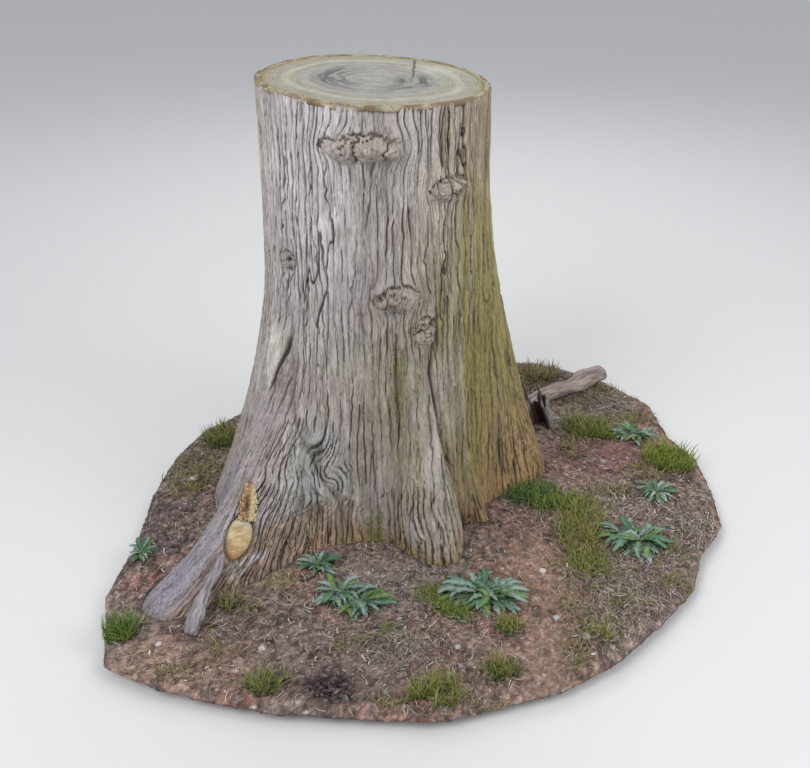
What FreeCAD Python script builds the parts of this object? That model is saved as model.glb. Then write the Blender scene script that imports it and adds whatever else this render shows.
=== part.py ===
import FreeCAD, Part
import math
import os
from FreeCAD import Placement, Rotation, Vector

# A sawn tree stump with buttress roots, standing in a cut-out patch of ground with weeds.
# Millimetres, +Z up. The origin is on the underside of the soil, on the axis of the trunk, and the
# front of the stump faces -Y. A direction is an angle in degrees round the trunk, from +X to +Y.
# A height is counted from the ground, which is the top of the soil.

UP = Vector(0, 0, 1)

# ---------------------------------------------------------------- driving dimensions

DIMENSIONS = {
    "soil_thickness": 60.0,
    "soil_rim_thickness": 12.0,
    "soil_undercut": 120.0,
    "patch_centre_x": 190.0,
    "patch_centre_y": -170.0,
    "patch_radius": 1050.0,
    "stump_height": 1450.0,
    "stump_embed": 45.0,
    "saw_tilt": 2.5,
    "top_radius": 351.0,
    "foot_swell": 69.0,
    "foot_swell_power": 1.5,
    "root_taper_power": 1.6,
    "broad_wave": 7.0,
    "narrow_wave": 4.0,
    "bark_thickness": 20.0,
    "heartwood_top_radius": 190.0,
    "heartwood_foot_radius": 225.0,
    "root_plane": 430.0,
    "root_end": 1160.0,
    "root_cut_height": 800.0,
    "surface_root_start": 760.0,
    "surface_root_end": 1195.0,
    "surface_root_start_radius": 40.0,
    "surface_root_end_radius": 28.0,
    "surface_root_direction": 35.0,
    "surface_root_lift": 14.0,
    "stub_base_radius": 48.0,
    "stub_tip_radius": 34.0,
    "stub_wall": 10.0,
    "stub_sweep": 235.0,
    "stub_opening": 150.0,
    "stub_foot_x": 672.0,
    "stub_foot_y": 300.0,
    "stub_foot_depth": 18.0,
    "stub_tip_x": 606.0,
    "stub_tip_y": 345.0,
    "stub_tip_height": 185.0,
    "strip_width": 38.0,
    "strip_thickness": 16.0,
    "strip_foot_x": -552.0,
    "strip_foot_y": -850.0,
    "strip_foot_depth": 20.0,
    "strip_tip_x": -470.0,
    "strip_tip_y": -610.0,
    "strip_tip_height": 126.0,
    "saw_face_length": 118.0,
    "saw_face_width": 66.0,
    "saw_face_proud": 10.0,
    "saw_face_depth": 25.0,
    "litter_thickness": 6.0,
    "twig_radius": 3.0,
}

# Lobes of the outline: direction, reach at the ground, angular spread, height where it fades out.
LOBE_FIELDS = ("direction", "reach", "spread", "rise")
LOBES = {
    "left_flare": (-158.0, 210.0, 40.0, 850.0),
    "left_lobe": (-131.0, 430.0, 11.0, 620.0),
    "left_toe": (-132.5, 105.0, 7.5, 110.0),
    "front_lobe": (-66.0, 190.0, 13.0, 750.0),
    "front_right_lobe": (-40.7, 85.0, 5.5, 350.0),
    "right_lobe": (2.0, 215.0, 19.0, 1200.0),
    "back_right_lobe": (36.0, 350.0, 9.0, 450.0),
    "back_lobe": (95.0, 160.0, 16.0, 600.0),
    "back_left_lobe": (148.0, 140.0, 14.0, 600.0),
}

# Buttress roots: direction of the root and half the width of the piece.
ROOT_FIELDS = ("heading", "half_width")
ROOTS = {
    "left_buttress_root": (-145.0, 450.0),
    "front_buttress_root": (-68.0, 165.0),
    "front_right_root": (-40.7, 50.0),
    "right_buttress_root": (0.0, 170.0),
    "back_right_root": (36.0, 100.0),
    "back_root": (95.0, 170.0),
    "back_left_root": (148.0, 150.0),
}

# Growths on the bark: direction, height, half width, half height, how far each stands proud.
GROWTH_FIELDS = ("at", "height", "half_width", "half_height", "proud")
GROWTHS = {
    "branch_knot_upper": (-94.0, 1340.0, 112.0, 44.0, 22.0),
    "branch_knot_right": (-51.0, 1199.0, 66.0, 38.0, 18.0),
    "branch_knot_left": (-136.0, 964.0, 26.0, 34.0, 12.0),
    "branch_knot_middle": (-79.0, 885.0, 66.0, 42.0, 24.0),
    "branch_knot_lower": (-65.0, 765.0, 34.0, 50.0, 20.0),
    "left_burl": (-113.0, 290.0, 62.0, 130.0, 20.0),
    "bark_flap": (-142.0, 615.0, 40.0, 105.0, 14.0),
}
MOSSES = {
    "moss_strip": (-79.0, 600.0, 15.0, 120.0, 6.0),
    "moss_foot": (-91.0, 75.0, 32.0, 58.0, 8.0),
}
SAW_FACE = ("sawn_limb_face", (-127.0, 165.0))
ROTTEN_WOOD = ("rotten_limb_wood", (-128.5, 262.0, 30.0, 44.0, 9.0))

# Plants and litter on the soil: x, y, half length, half width, turn in degrees, height.
PLANT_FIELDS = ("x", "y", "half_length", "half_width", "turn", "top")
PLANTS = {
    "grass_right_strip": (695.0, -345.0, 180.0, 58.0, -72.0, 60.0),
    "grass_right_rim": (1108.0, 55.0, 100.0, 82.0, 0.0, 55.0),
    "grass_by_stub": (835.0, 280.0, 100.0, 75.0, 0.0, 60.0),
    "grass_back_right": (700.0, 720.0, 110.0, 60.0, -35.0, 40.0),
    "grass_left_rim": (-768.0, -850.0, 50.0, 42.0, 0.0, 50.0),
    "grass_front_rim": (178.0, -1077.0, 75.0, 50.0, 0.0, 50.0),
    "grass_front_left": (-301.0, -1055.0, 62.0, 45.0, 15.0, 45.0),
    "grass_front_middle": (413.0, -829.0, 45.0, 35.0, 0.0, 40.0),
    "grass_front_right": (367.0, -1005.0, 52.0, 40.0, 0.0, 45.0),
    "grass_left_back": (-640.0, 205.0, 80.0, 62.0, 70.0, 45.0),
    "grass_left_root": (-455.0, -722.0, 48.0, 34.0, -60.0, 35.0),
    "rosette_front": (-80.0, -700.0, 118.0, 98.0, 0.0, 45.0),
    "rosette_front_right": (340.0, -682.0, 105.0, 72.0, 10.0, 50.0),
    "rosette_right": (875.0, -420.0, 98.0, 95.0, 0.0, 50.0),
    "rosette_right_back": (1011.0, 227.0, 85.0, 70.0, 0.0, 35.0),
    "rosette_right_rim": (1010.0, -156.0, 70.0, 58.0, 0.0, 35.0),
    "rosette_left_rim": (-788.0, -488.0, 58.0, 38.0, 80.0, 35.0),
    "rosette_foot": (-195.0, -548.0, 60.0, 40.0, 15.0, 35.0),
    "dead_weed": (-112.0, -1059.0, 65.0, 48.0, 0.0, 60.0),
}
LITTER_FIELDS = ("x", "y", "half_length", "half_width", "turn")
LITTERS = {
    "litter_right_front": (800.0, -660.0, 105.0, 70.0, 20.0),
    "litter_right": (1085.0, -325.0, 82.0, 70.0, 60.0),
    "litter_front": (105.0, -880.0, 105.0, 58.0, 0.0),
    "litter_back_right": (935.0, 475.0, 75.0, 55.0, 35.0),
}
# Loose things that lie on the soil: x, y and size, and for a twig its turn in degrees too.
PEBBLES = (
    (640.0, -860.0, 13.0),
    (560.0, -780.0, 9.0),
    (545.0, -560.0, 11.0),
    (250.0, -900.0, 8.0),
    (-330.0, -900.0, 10.0),
    (-640.0, -890.0, 9.0),
    (860.0, 60.0, 10.0),
    (-700.0, -60.0, 12.0),
    (330.0, 780.0, 14.0),
    (-250.0, 690.0, 11.0),
)
TWIGS = (
    (560.0, -930.0, 150.0, 25.0),
    (-420.0, -960.0, 190.0, 75.0),
    (930.0, -60.0, 110.0, 8.0),
    (-240.0, -790.0, 120.0, 140.0),
    (80.0, 760.0, 160.0, -20.0),
    (-660.0, -230.0, 90.0, 100.0),
)

# Corners of the patch of ground: direction from its centre, distance as a share of its radius.
PATCH_CORNERS = (
    (4, 1.0), (15, 1.03), (24, 1.01), (35, 1.11), (48, 1.13), (64, 1.10), (84, 1.02), (104, 1.0),
    (122, 0.97), (141, 0.94), (152, 0.99), (165, 0.98), (178, 0.98), (195, 1.01), (205, 1.11),
    (219, 1.20), (228, 1.13), (244, 1.02), (253, 0.97), (270, 0.945), (291, 0.905), (304, 0.90),
    (317, 0.89), (331, 0.915), (341, 0.91), (352, 0.985),
)

# The outline is drawn in stretches that end in the valleys between roots, in steps of an angle.
STRETCH_ENDS = (-198.0, -100.0, -50.0, -22.0, 20.0, 60.0, 120.0, 162.0)
STEP_ANGLE = 5.0
FEWEST_STEPS = 6
SECTION_COUNT = 20
SECTION_SPACING_POWER = 1.3
LOFT_DEGREE = 3
CORE_OVERSHOOT = 30.0

# Shallow waves round the trunk: how many there are, where they start in radians, and the share of
# the stump's height at which the broad ones are gone.
BROAD_WAVES = 3.0
BROAD_START = 1.0
BROAD_FADE = 1.2
NARROW_WAVES = 5.0
NARROW_START = 2.0

# How far beside and above a place on the bark its slope is measured.
SLOPE_ANGLE = 1.0
SLOPE_STEP = 4.0

# A pebble's length and height as shares of its width, and the turn from one pebble to the next.
PEBBLE_LENGTH = 1.3
PEBBLE_HEIGHT = 0.8
PEBBLE_TURN = 37.0

doc = FreeCAD.newDocument("tree_stump")
sheet = doc.addObject("Spreadsheet::Sheet", "Dimensions")
next_row = [1]


def add_cells(values):
    """Write named values in the sheet, a word in column A and its number in column B."""
    for alias, value in values.items():
        row = next_row[0]
        sheet.set(f"A{row}", alias)
        sheet.set(f"B{row}", str(value))
        sheet.setAlias(f"B{row}", alias)
        next_row[0] = row + 1


def add_table(table, fields):
    """Write one cell for each field of each row, named by the row and the field."""
    for name, values in table.items():
        add_cells({f"{name}_{field}": value for field, value in zip(fields, values)})


def size(alias):
    """A driving dimension, read from the sheet."""
    return float(sheet.get(alias))


def bind(item, **cells):
    """Tie properties of an object to cells of the sheet."""
    for prop, expression in cells.items():
        item.setExpression(prop, expression)


def cell(alias):
    """A cell of the sheet, as an expression."""
    return f"Dimensions.{alias}"


add_cells(DIMENSIONS)
add_table(LOBES, LOBE_FIELDS)
add_table(ROOTS, ROOT_FIELDS)
add_table(GROWTHS, GROWTH_FIELDS)
add_table(MOSSES, GROWTH_FIELDS)
add_table({SAW_FACE[0]: SAW_FACE[1]}, GROWTH_FIELDS[:2])
add_table({ROTTEN_WOOD[0]: ROTTEN_WOOD[1]}, GROWTH_FIELDS)
add_table(PLANTS, PLANT_FIELDS)
add_table(LITTERS, LITTER_FIELDS)
doc.recompute()

GROUND = size("soil_thickness")


# ---------------------------------------------------------------- the grown outline

def polar(direction, radius, height=0.0):
    """A point at a direction, a distance from the trunk's axis and a height over the ground."""
    turn = math.radians(direction)
    return Vector(radius * math.cos(turn), radius * math.sin(turn), GROUND + height)


def trunk_radius(height):
    """Mean radius of the trunk, which swells towards its foot."""
    rise = min(height / size("stump_height"), 1.0)
    return size("top_radius") + size("foot_swell") * (1.0 - rise) ** size("foot_swell_power")


def bark_radius(direction, height):
    """Distance from the axis to the outside of the bark or root."""
    turn = math.radians(direction)
    rise = height / size("stump_height")
    broad_share = max(0.0, min(1.0, BROAD_FADE - rise))
    waves = size("broad_wave") * math.cos(BROAD_WAVES * turn + BROAD_START) * broad_share
    waves += size("narrow_wave") * math.cos(NARROW_WAVES * turn + NARROW_START)
    radius = trunk_radius(height) + waves
    for lobe in LOBES:
        fade = 1.0 - max(height, 0.0) / size(f"{lobe}_rise")
        if fade > 0.0:
            apart = (direction - size(f"{lobe}_direction") + 180.0) % 360.0 - 180.0
            share = math.exp(-(apart / size(f"{lobe}_spread")) ** 2)
            radius += size(f"{lobe}_reach") * share * fade ** size("root_taper_power")
    return radius


def wood_radius(direction, height):
    """Distance from the axis to the wood under the bark."""
    return bark_radius(direction, height) - size("bark_thickness")


def section_height(index, overshoot):
    """Heights of the sections, closer together near the roots."""
    lowest = -size("stump_embed") - overshoot
    highest = size("stump_height") + overshoot
    share = (index / (SECTION_COUNT - 1)) ** SECTION_SPACING_POWER
    return lowest + (highest - lowest) * share


def section_wire(radius_at, height, tilt):
    """A closed outline at one height, a smooth curve per stretch, tilted down towards +X."""
    slope = math.tan(math.radians(tilt))
    edges = []
    for start, end in zip(STRETCH_ENDS[:-1], STRETCH_ENDS[1:]):
        count = max(FEWEST_STEPS, round((end - start) / STEP_ANGLE))
        points = []
        for index in range(count + 1):
            direction = start + (end - start) * index / count
            point = polar(direction, radius_at(direction, height))
            point.z = GROUND + height - slope * point.x
            points.append(point)
        curve = Part.BSplineCurve()
        curve.interpolate(points)
        edges.append(curve.toShape())
    return Part.Wire(edges)


def grown_form(name, radius_at, overshoot=0.0):
    """A solid lofted through sections of a grown outline, past both ends by an overshoot."""
    sections = []
    for index in range(SECTION_COUNT):
        tilt = size("saw_tilt") if index == SECTION_COUNT - 1 else 0.0
        section = doc.addObject("Part::Feature", f"{name}_section_{index}")
        section.Shape = section_wire(radius_at, section_height(index, overshoot), tilt)
        sections.append(section)
    form = doc.addObject("Part::Loft", name)
    form.Sections = sections
    form.Solid = True
    form.Ruled = False
    form.MaxDegree = LOFT_DEGREE
    return form


def heart_cone():
    """The tapered column of heartwood, past both ends of the stump."""
    cone = doc.addObject("Part::Cone", "heart_form")
    cone.Height = size("stump_height") + size("stump_embed") + 2.0 * CORE_OVERSHOOT
    bind(cone, Radius1=cell("heartwood_foot_radius"), Radius2=cell("heartwood_top_radius"))
    cone.Placement.Base = Vector(0.0, 0.0, GROUND - size("stump_embed") - CORE_OVERSHOOT)
    return cone


def surface_placement(direction, height, sunk=0.0):
    """A placement on the bark: X along the girth, Y up the bark and Z straight out of it."""
    side, top = direction + SLOPE_ANGLE, height + SLOPE_STEP
    here = polar(direction, bark_radius(direction, height), height)
    beside = polar(side, bark_radius(side, height), height)
    above = polar(direction, bark_radius(direction, top), top)
    along = (beside - here).normalize()
    outward = along.cross(above - here).normalize()
    upward = outward.cross(along)
    turn = Rotation(along, upward, outward, "ZXY")
    return Placement(here - outward * sunk, turn)


# ---------------------------------------------------------------- booleans and pieces

pieces = []


def keep(item, label):
    """Give a finished piece its label, and list it for export."""
    item.Label = label
    pieces.append(item)
    return item


def cut(name, base, *tools):
    """A piece of base with every tool taken away."""
    for index, tool in enumerate(tools):
        step = doc.addObject("Part::Cut", f"{name}_cut_{index}")
        step.Base = base
        step.Tool = tool
        base = step
    return base


def common(name, base, tool):
    """What two forms share."""
    both = doc.addObject("Part::Common", name)
    both.Base = base
    both.Tool = tool
    return both


def root_block(name):
    """The block of space that a buttress root is taken from."""
    block = doc.addObject("Part::Box", f"{name}_block")
    bind(
        block,
        Length=f"{cell('root_end')} - {cell('root_plane')}",
        Width=f"2 * {cell(name + '_half_width')}",
        Height=cell("root_cut_height"),
    )
    heading = Rotation(UP, size(f"{name}_heading"))
    corner = Vector(size("root_plane"), -size(f"{name}_half_width"), -GROUND)
    block.Placement = Placement(heading.multVec(corner), heading)
    return block


def ellipsoid(name, placement, half_x, half_y, half_z, lowest=-90.0):
    """A growth or a dome with its half sizes as expressions; from latitude 0 it has a flat base."""
    form = doc.addObject("Part::Ellipsoid", name)
    bind(form, Radius1=half_z, Radius2=half_x, Radius3=half_y)
    form.Angle1 = lowest
    form.Placement = placement
    return form


def growth_form(name):
    """An oblong growth, half sunk in the bark."""
    placement = surface_placement(size(f"{name}_at"), size(f"{name}_height"))
    return ellipsoid(
        f"{name}_form",
        placement,
        cell(f"{name}_half_width"),
        cell(f"{name}_half_height"),
        cell(f"{name}_proud"),
    )


def dome(name):
    """A plant as a low dome on the soil."""
    turn = Rotation(UP, size(f"{name}_turn"))
    place = Placement(Vector(size(f"{name}_x"), size(f"{name}_y"), GROUND), turn)
    return ellipsoid(
        name,
        place,
        cell(f"{name}_half_length"),
        cell(f"{name}_half_width"),
        cell(f"{name}_top"),
        lowest=0.0,
    )


# ---------------------------------------------------------------- stump

bark_form = grown_form("bark_form", bark_radius)
wood_form = grown_form("wood_form", wood_radius, overshoot=CORE_OVERSHOOT)
heart_form = heart_cone()
root_blocks = {name: root_block(name) for name in ROOTS}

growths = {}
for growth_name in GROWTHS:
    growths[growth_name] = cut(growth_name, growth_form(growth_name), wood_form)


def saw_face():
    """The flat oval stump of a limb that was sawn off along the left root."""
    name = SAW_FACE[0]
    place = surface_placement(size(f"{name}_at"), size(f"{name}_height"), size("saw_face_depth"))
    oval = doc.addObject("Part::Ellipse", f"{name}_oval")
    bind(oval, MajorRadius=f"{cell('saw_face_length')} / 2", MinorRadius=f"{cell('saw_face_width')} / 2")
    oval.Placement = place * Placement(Vector(), Rotation(UP, 90.0))
    stub = doc.addObject("Part::Extrusion", name)
    stub.Base = oval
    stub.DirMode = "Normal"
    stub.Solid = True
    bind(stub, LengthFwd=f"{cell('saw_face_depth')} + {cell('saw_face_proud')}")
    return stub


limb_face = saw_face()
rotten_wood = cut(ROTTEN_WOOD[0], growth_form(ROTTEN_WOOD[0]), limb_face)

roots = {}
for root_name, block in root_blocks.items():
    roots[root_name] = common(f"{root_name}_form", bark_form, block)
roots["left_buttress_root"] = cut(
    "left_buttress_root", roots["left_buttress_root"], limb_face, rotten_wood, growths["bark_flap"]
)

keep(common("heartwood", bark_form, heart_form), "heartwood")
wood = common("wood", bark_form, wood_form)
keep(cut("sapwood", wood, heart_form, *root_blocks.values()), "sapwood")
bark_shell = cut("bark_shell", bark_form, wood_form, *root_blocks.values())
keep(cut("trunk_bark", bark_shell, *growths.values()), "trunk_bark")
for root_name, root in roots.items():
    keep(root, root_name)
for growth_name, growth in growths.items():
    keep(growth, growth_name)
for moss_name in MOSSES:
    keep(cut(moss_name, growth_form(moss_name), bark_form), moss_name)
keep(limb_face, SAW_FACE[0])
keep(rotten_wood, ROTTEN_WOOD[0])


# ---------------------------------------------------------------- loose and dead roots

def pointing(start, end):
    """A placement at start whose Z points at end, with X level."""
    along = (end - start).normalize()
    return Placement(start, Rotation(UP.cross(along), Vector(), along, "ZXY"))


def surface_root():
    """The tapered root that runs half buried to the edge of the patch."""
    direction = size("surface_root_direction")
    lift = size("surface_root_lift")
    start = polar(direction, size("surface_root_start"), lift)
    end = polar(direction, size("surface_root_end"), lift)
    cone = doc.addObject("Part::Cone", "surface_root_form")
    bind(
        cone,
        Radius1=cell("surface_root_start_radius"),
        Radius2=cell("surface_root_end_radius"),
        Height=f"{cell('surface_root_end')} - {cell('surface_root_start')}",
    )
    cone.Placement = pointing(start, end)
    return cut("surface_root", cone, bark_form)


def dead_root_stub():
    """A hollow leaning shell of dead root, open towards the front."""
    foot = Vector(size("stub_foot_x"), size("stub_foot_y"), GROUND - size("stub_foot_depth"))
    tip = Vector(size("stub_tip_x"), size("stub_tip_y"), GROUND + size("stub_tip_height"))
    opening = Rotation(UP, size("stub_opening"))
    shells = []
    for name, wall in (("outer", "0"), ("inner", cell("stub_wall"))):
        cone = doc.addObject("Part::Cone", f"dead_root_stub_{name}")
        bind(
            cone,
            Radius1=f"{cell('stub_base_radius')} - {wall}",
            Radius2=f"{cell('stub_tip_radius')} - {wall}",
            Angle=cell("stub_sweep") if name == "outer" else "360",
        )
        cone.Height = (tip - foot).Length
        cone.Placement = pointing(foot, tip) * Placement(Vector(), opening)
        shells.append(cone)
    return cut("dead_root_stub", shells[0], shells[1])


def dead_root_strip():
    """A flat strip of dead root that leans from the soil on the left root."""
    foot = Vector(size("strip_foot_x"), size("strip_foot_y"), GROUND - size("strip_foot_depth"))
    tip = Vector(size("strip_tip_x"), size("strip_tip_y"), GROUND + size("strip_tip_height"))
    strip = doc.addObject("Part::Box", "dead_root_strip_form")
    bind(strip, Length=cell("strip_width"), Width=cell("strip_thickness"))
    strip.Height = (tip - foot).Length
    centre = Vector(-size("strip_width") / 2.0, 0.0, 0.0)
    strip.Placement = pointing(foot, tip) * Placement(centre, Rotation())
    return cut("dead_root_strip", strip, bark_form, limb_face)


surface = keep(surface_root(), "surface_root")
stub = keep(dead_root_stub(), "dead_root_stub")
strip = keep(dead_root_strip(), "dead_root_strip")


# ---------------------------------------------------------------- ground

def patch_outline(name, inset, level):
    """The outline of the patch, drawn in by an inset, at a level above its underside."""
    centre = Vector(size("patch_centre_x"), size("patch_centre_y"), level)
    points = []
    for direction, share in PATCH_CORNERS:
        reach = share * size("patch_radius") - inset
        turn = math.radians(direction)
        points.append(centre + Vector(reach * math.cos(turn), reach * math.sin(turn), 0.0))
    outline = doc.addObject("Part::Feature", name)
    outline.Shape = Part.makePolygon(points + points[:1])
    return outline


def soil_patch():
    """The slab of soil, undercut all round, with a pocket for everything rooted in it."""
    rim_low = GROUND - size("soil_rim_thickness")
    slab = doc.addObject("Part::Loft", "soil_slab")
    slab.Sections = [
        patch_outline("soil_outline_low", size("soil_undercut"), 0.0),
        patch_outline("soil_outline_rim", 0.0, rim_low),
        patch_outline("soil_outline_top", 0.0, GROUND),
    ]
    slab.Solid = True
    slab.Ruled = True
    return cut("soil_patch", slab, bark_form, surface, stub, strip)


def litter_mat(name):
    """A thin oval mat of dry grass stems."""
    turn = Rotation(UP, size(f"{name}_turn"))
    oval = doc.addObject("Part::Ellipse", f"{name}_oval")
    bind(oval, MajorRadius=cell(f"{name}_half_length"), MinorRadius=cell(f"{name}_half_width"))
    oval.Placement = Placement(Vector(size(f"{name}_x"), size(f"{name}_y"), GROUND), turn)
    mat = doc.addObject("Part::Extrusion", name)
    mat.Base = oval
    mat.DirMode = "Normal"
    mat.Solid = True
    bind(mat, LengthFwd=cell("litter_thickness"))
    return mat


def group(name, members):
    """Loose things of one kind as one piece of separate solids."""
    compound = doc.addObject("Part::Compound", name)
    compound.Links = members
    return compound


def pebble(index, x, y, radius):
    """A pebble, as a dome with its flat side on the soil."""
    place = Placement(Vector(x, y, GROUND), Rotation(UP, PEBBLE_TURN * index))
    half_length, half_height = f"{radius} * {PEBBLE_LENGTH}", f"{radius} * {PEBBLE_HEIGHT}"
    return ellipsoid(f"pebble_{index}", place, half_length, f"{radius}", half_height, lowest=0.0)


def twig(index, x, y, length, turn):
    """A dry twig that lies on the soil."""
    rod = doc.addObject("Part::Cylinder", f"twig_{index}")
    bind(rod, Radius=cell("twig_radius"))
    rod.Height = length
    level = GROUND + size("twig_radius")
    lying = Rotation(UP, turn) * Rotation(Vector(0, 1, 0), 90.0)
    rod.Placement = Placement(Vector(x, y, level), lying)
    return rod


keep(soil_patch(), "soil_patch")
for plant_name in PLANTS:
    keep(dome(plant_name), plant_name)
for litter_name in LITTERS:
    keep(litter_mat(litter_name), litter_name)
keep(group("pebble_group", [pebble(i, *row) for i, row in enumerate(PEBBLES)]), "pebbles")
keep(group("twig_group", [twig(i, *row) for i, row in enumerate(TWIGS)]), "dry_twigs")


# ---------------------------------------------------------------- check and export

doc.recompute()

failed = [item.Name for item in doc.Objects if {"Invalid", "Error"} & set(item.State)]
if failed:
    raise RuntimeError(f"these objects failed: {failed}")

os.makedirs("parts", exist_ok=True)
for piece in pieces:
    shape = piece.Shape
    if shape.isNull() or not shape.isValid() or not shape.Solids:
        raise RuntimeError(f"{piece.Label} has no valid solid")

for piece in pieces:
    piece.Shape.exportStep(f"parts/{piece.Label}.step")
    print(f"{piece.Label}: {len(piece.Shape.Solids)} solid(s), {piece.Shape.Volume / 1e6:.3f} litres")
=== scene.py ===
import math

import bmesh
import bpy
import numpy as np
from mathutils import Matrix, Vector
from mathutils.bvhtree import BVHTree


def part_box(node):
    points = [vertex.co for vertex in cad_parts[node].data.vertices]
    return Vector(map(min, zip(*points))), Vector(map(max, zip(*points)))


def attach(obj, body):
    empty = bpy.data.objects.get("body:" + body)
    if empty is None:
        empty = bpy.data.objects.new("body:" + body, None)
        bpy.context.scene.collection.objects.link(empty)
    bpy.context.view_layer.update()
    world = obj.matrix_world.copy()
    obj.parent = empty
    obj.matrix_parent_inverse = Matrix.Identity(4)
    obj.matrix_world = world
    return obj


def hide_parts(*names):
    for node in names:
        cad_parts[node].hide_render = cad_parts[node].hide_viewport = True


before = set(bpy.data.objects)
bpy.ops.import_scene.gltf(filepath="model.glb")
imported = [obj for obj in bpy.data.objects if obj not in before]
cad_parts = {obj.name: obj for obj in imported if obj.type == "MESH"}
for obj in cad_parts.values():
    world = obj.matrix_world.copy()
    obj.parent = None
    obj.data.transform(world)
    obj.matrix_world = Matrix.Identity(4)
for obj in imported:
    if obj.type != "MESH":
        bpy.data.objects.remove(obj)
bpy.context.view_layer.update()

# The looks of a sawn tree stump on its patch of ground. Metres, in the row frame: the trunk's axis
# is x = y = 0, the front is -Y. "turn" is an angle round the trunk in radians, from +X to +Y.

random = np.random.default_rng(44)

TAU = 2 * math.pi
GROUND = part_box("rosette_front")[0].z
ROOTS = (
    "left_buttress_root",
    "front_buttress_root",
    "front_right_root",
    "right_buttress_root",
    "back_right_root",
    "back_root",
    "back_left_root",
)
GROWTHS = (
    "branch_knot_upper",
    "branch_knot_right",
    "branch_knot_left",
    "branch_knot_middle",
    "branch_knot_lower",
    "left_burl",
    "bark_flap",
)
LIMB = ("sawn_limb_face", "rotten_limb_wood")

TRUNK_RADIUS = 0.37          # the girth that the bark pattern is laid out on
BARK_THICKNESS = 0.019
BURIED = 0.028               # how far the bark goes on below the ground
CLEAR_OF_CUT = 0.05          # how far below the saw cut the wood's radius is read

# Colours, linear: the bark's plates and growths, the painted shade in its crevices, moss and earth.
BARK_GREY = (0.50, 0.462, 0.435)
BARK_PALE = (0.56, 0.545, 0.56)
BARK_PINK = (0.425, 0.372, 0.378)
BARK_WARM = (0.44, 0.38, 0.305)
BARK_OLIVE = (0.295, 0.256, 0.092)
BARK_RUST = (0.335, 0.205, 0.11)
BARK_LILAC = (0.42, 0.38, 0.41)
BARK_RED_BROWN = (0.31, 0.235, 0.205)
BARK_DAMP = (0.27, 0.225, 0.055)
BARK_DUSTY = (0.23, 0.175, 0.15)
BARK_FLANK = (0.30, 0.205, 0.14)
FLAP_BARK = (0.56, 0.53, 0.48)
BURL_BARK = (0.36, 0.41, 0.40)
KNOT_BARK = (0.36, 0.305, 0.27)
CUT_BARK = (0.30, 0.20, 0.11)
LICHEN = (0.43, 0.44, 0.46)
# Painted shade in deep crevices and cracks; for shallow furrows their own brown, darkened with painted
# shade.
CREVICE_SHADE = (0.052, 0.041, 0.035)
FURROW_BROWN_AND_SHADE = (0.215, 0.165, 0.125)
RIM_BARK = (0.255, 0.205, 0.125)
RIM_PALE = (0.38, 0.345, 0.235)
RIM_DARK = (0.15, 0.09, 0.05)
MOSS_GREEN = (0.17, 0.20, 0.045)
SOIL_RED = (0.225, 0.125, 0.095)
SOIL_BROWN = (0.185, 0.14, 0.115)
SOIL_DARK = (0.085, 0.065, 0.055)
SOIL_SHADE = (0.05, 0.035, 0.028)
SOIL_BALANCE = (1.09, 1.08, 1.15)
PALE_GRIT = (0.42, 0.37, 0.33)


# ---------------------------------------------------------------- noise

def hash01(i, j, seed):
    """A repeatable random number from 0 to 1 for each pair of whole numbers."""
    a = (i & 0xFFFFFFFF).astype(np.uint32) * np.uint32(374761393)
    b = (j & 0xFFFFFFFF).astype(np.uint32) * np.uint32(668265263)
    h = a + b + np.uint32((seed * 2246822519) & 0xFFFFFFFF)
    h = (h ^ (h >> np.uint32(13))) * np.uint32(1274126177)
    h = (h ^ (h >> np.uint32(15))) * np.uint32(2654435761)
    h ^= h >> np.uint32(16)
    return h.astype(np.float64) / 4294967296.0


def lattice(x, y):
    xi = np.floor(x).astype(np.int64)
    yi = np.floor(y).astype(np.int64)
    return xi, yi, x - xi, y - yi


def noise(x, y, seed, period=0):
    """Smooth noise from -1 to 1 on a unit lattice; x wraps round after a whole period."""
    xi, yi, fx, fy = lattice(x, y)
    fx = fx * fx * (3 - 2 * fx)
    fy = fy * fy * (3 - 2 * fy)
    x0, x1 = (xi % period, (xi + 1) % period) if period else (xi, xi + 1)
    low = hash01(x0, yi, seed) * (1 - fx) + hash01(x1, yi, seed) * fx
    high = hash01(x0, yi + 1, seed) * (1 - fx) + hash01(x1, yi + 1, seed) * fx
    return 2 * (low * (1 - fy) + high * fy) - 1


def line_noise(x, seed, at=0.0):
    """Noise along a line."""
    return noise(x, 0 * x + at, seed)


def round_noise(turn, waves, seed, at=0.0):
    """Noise round the stump that joins up with itself."""
    return noise(turn / TAU * waves, 0 * turn + at, seed, waves)


def layered(x, y, seed, octaves=4):
    """Several octaves of noise, from -1 to 1."""
    total = 0.0
    for octave in range(octaves):
        scale = 2.0 ** octave
        total = total + noise(x * scale, y * scale, seed + 31 * octave) / scale
    return total / (2 - 2.0 ** (1 - octaves))


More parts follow.
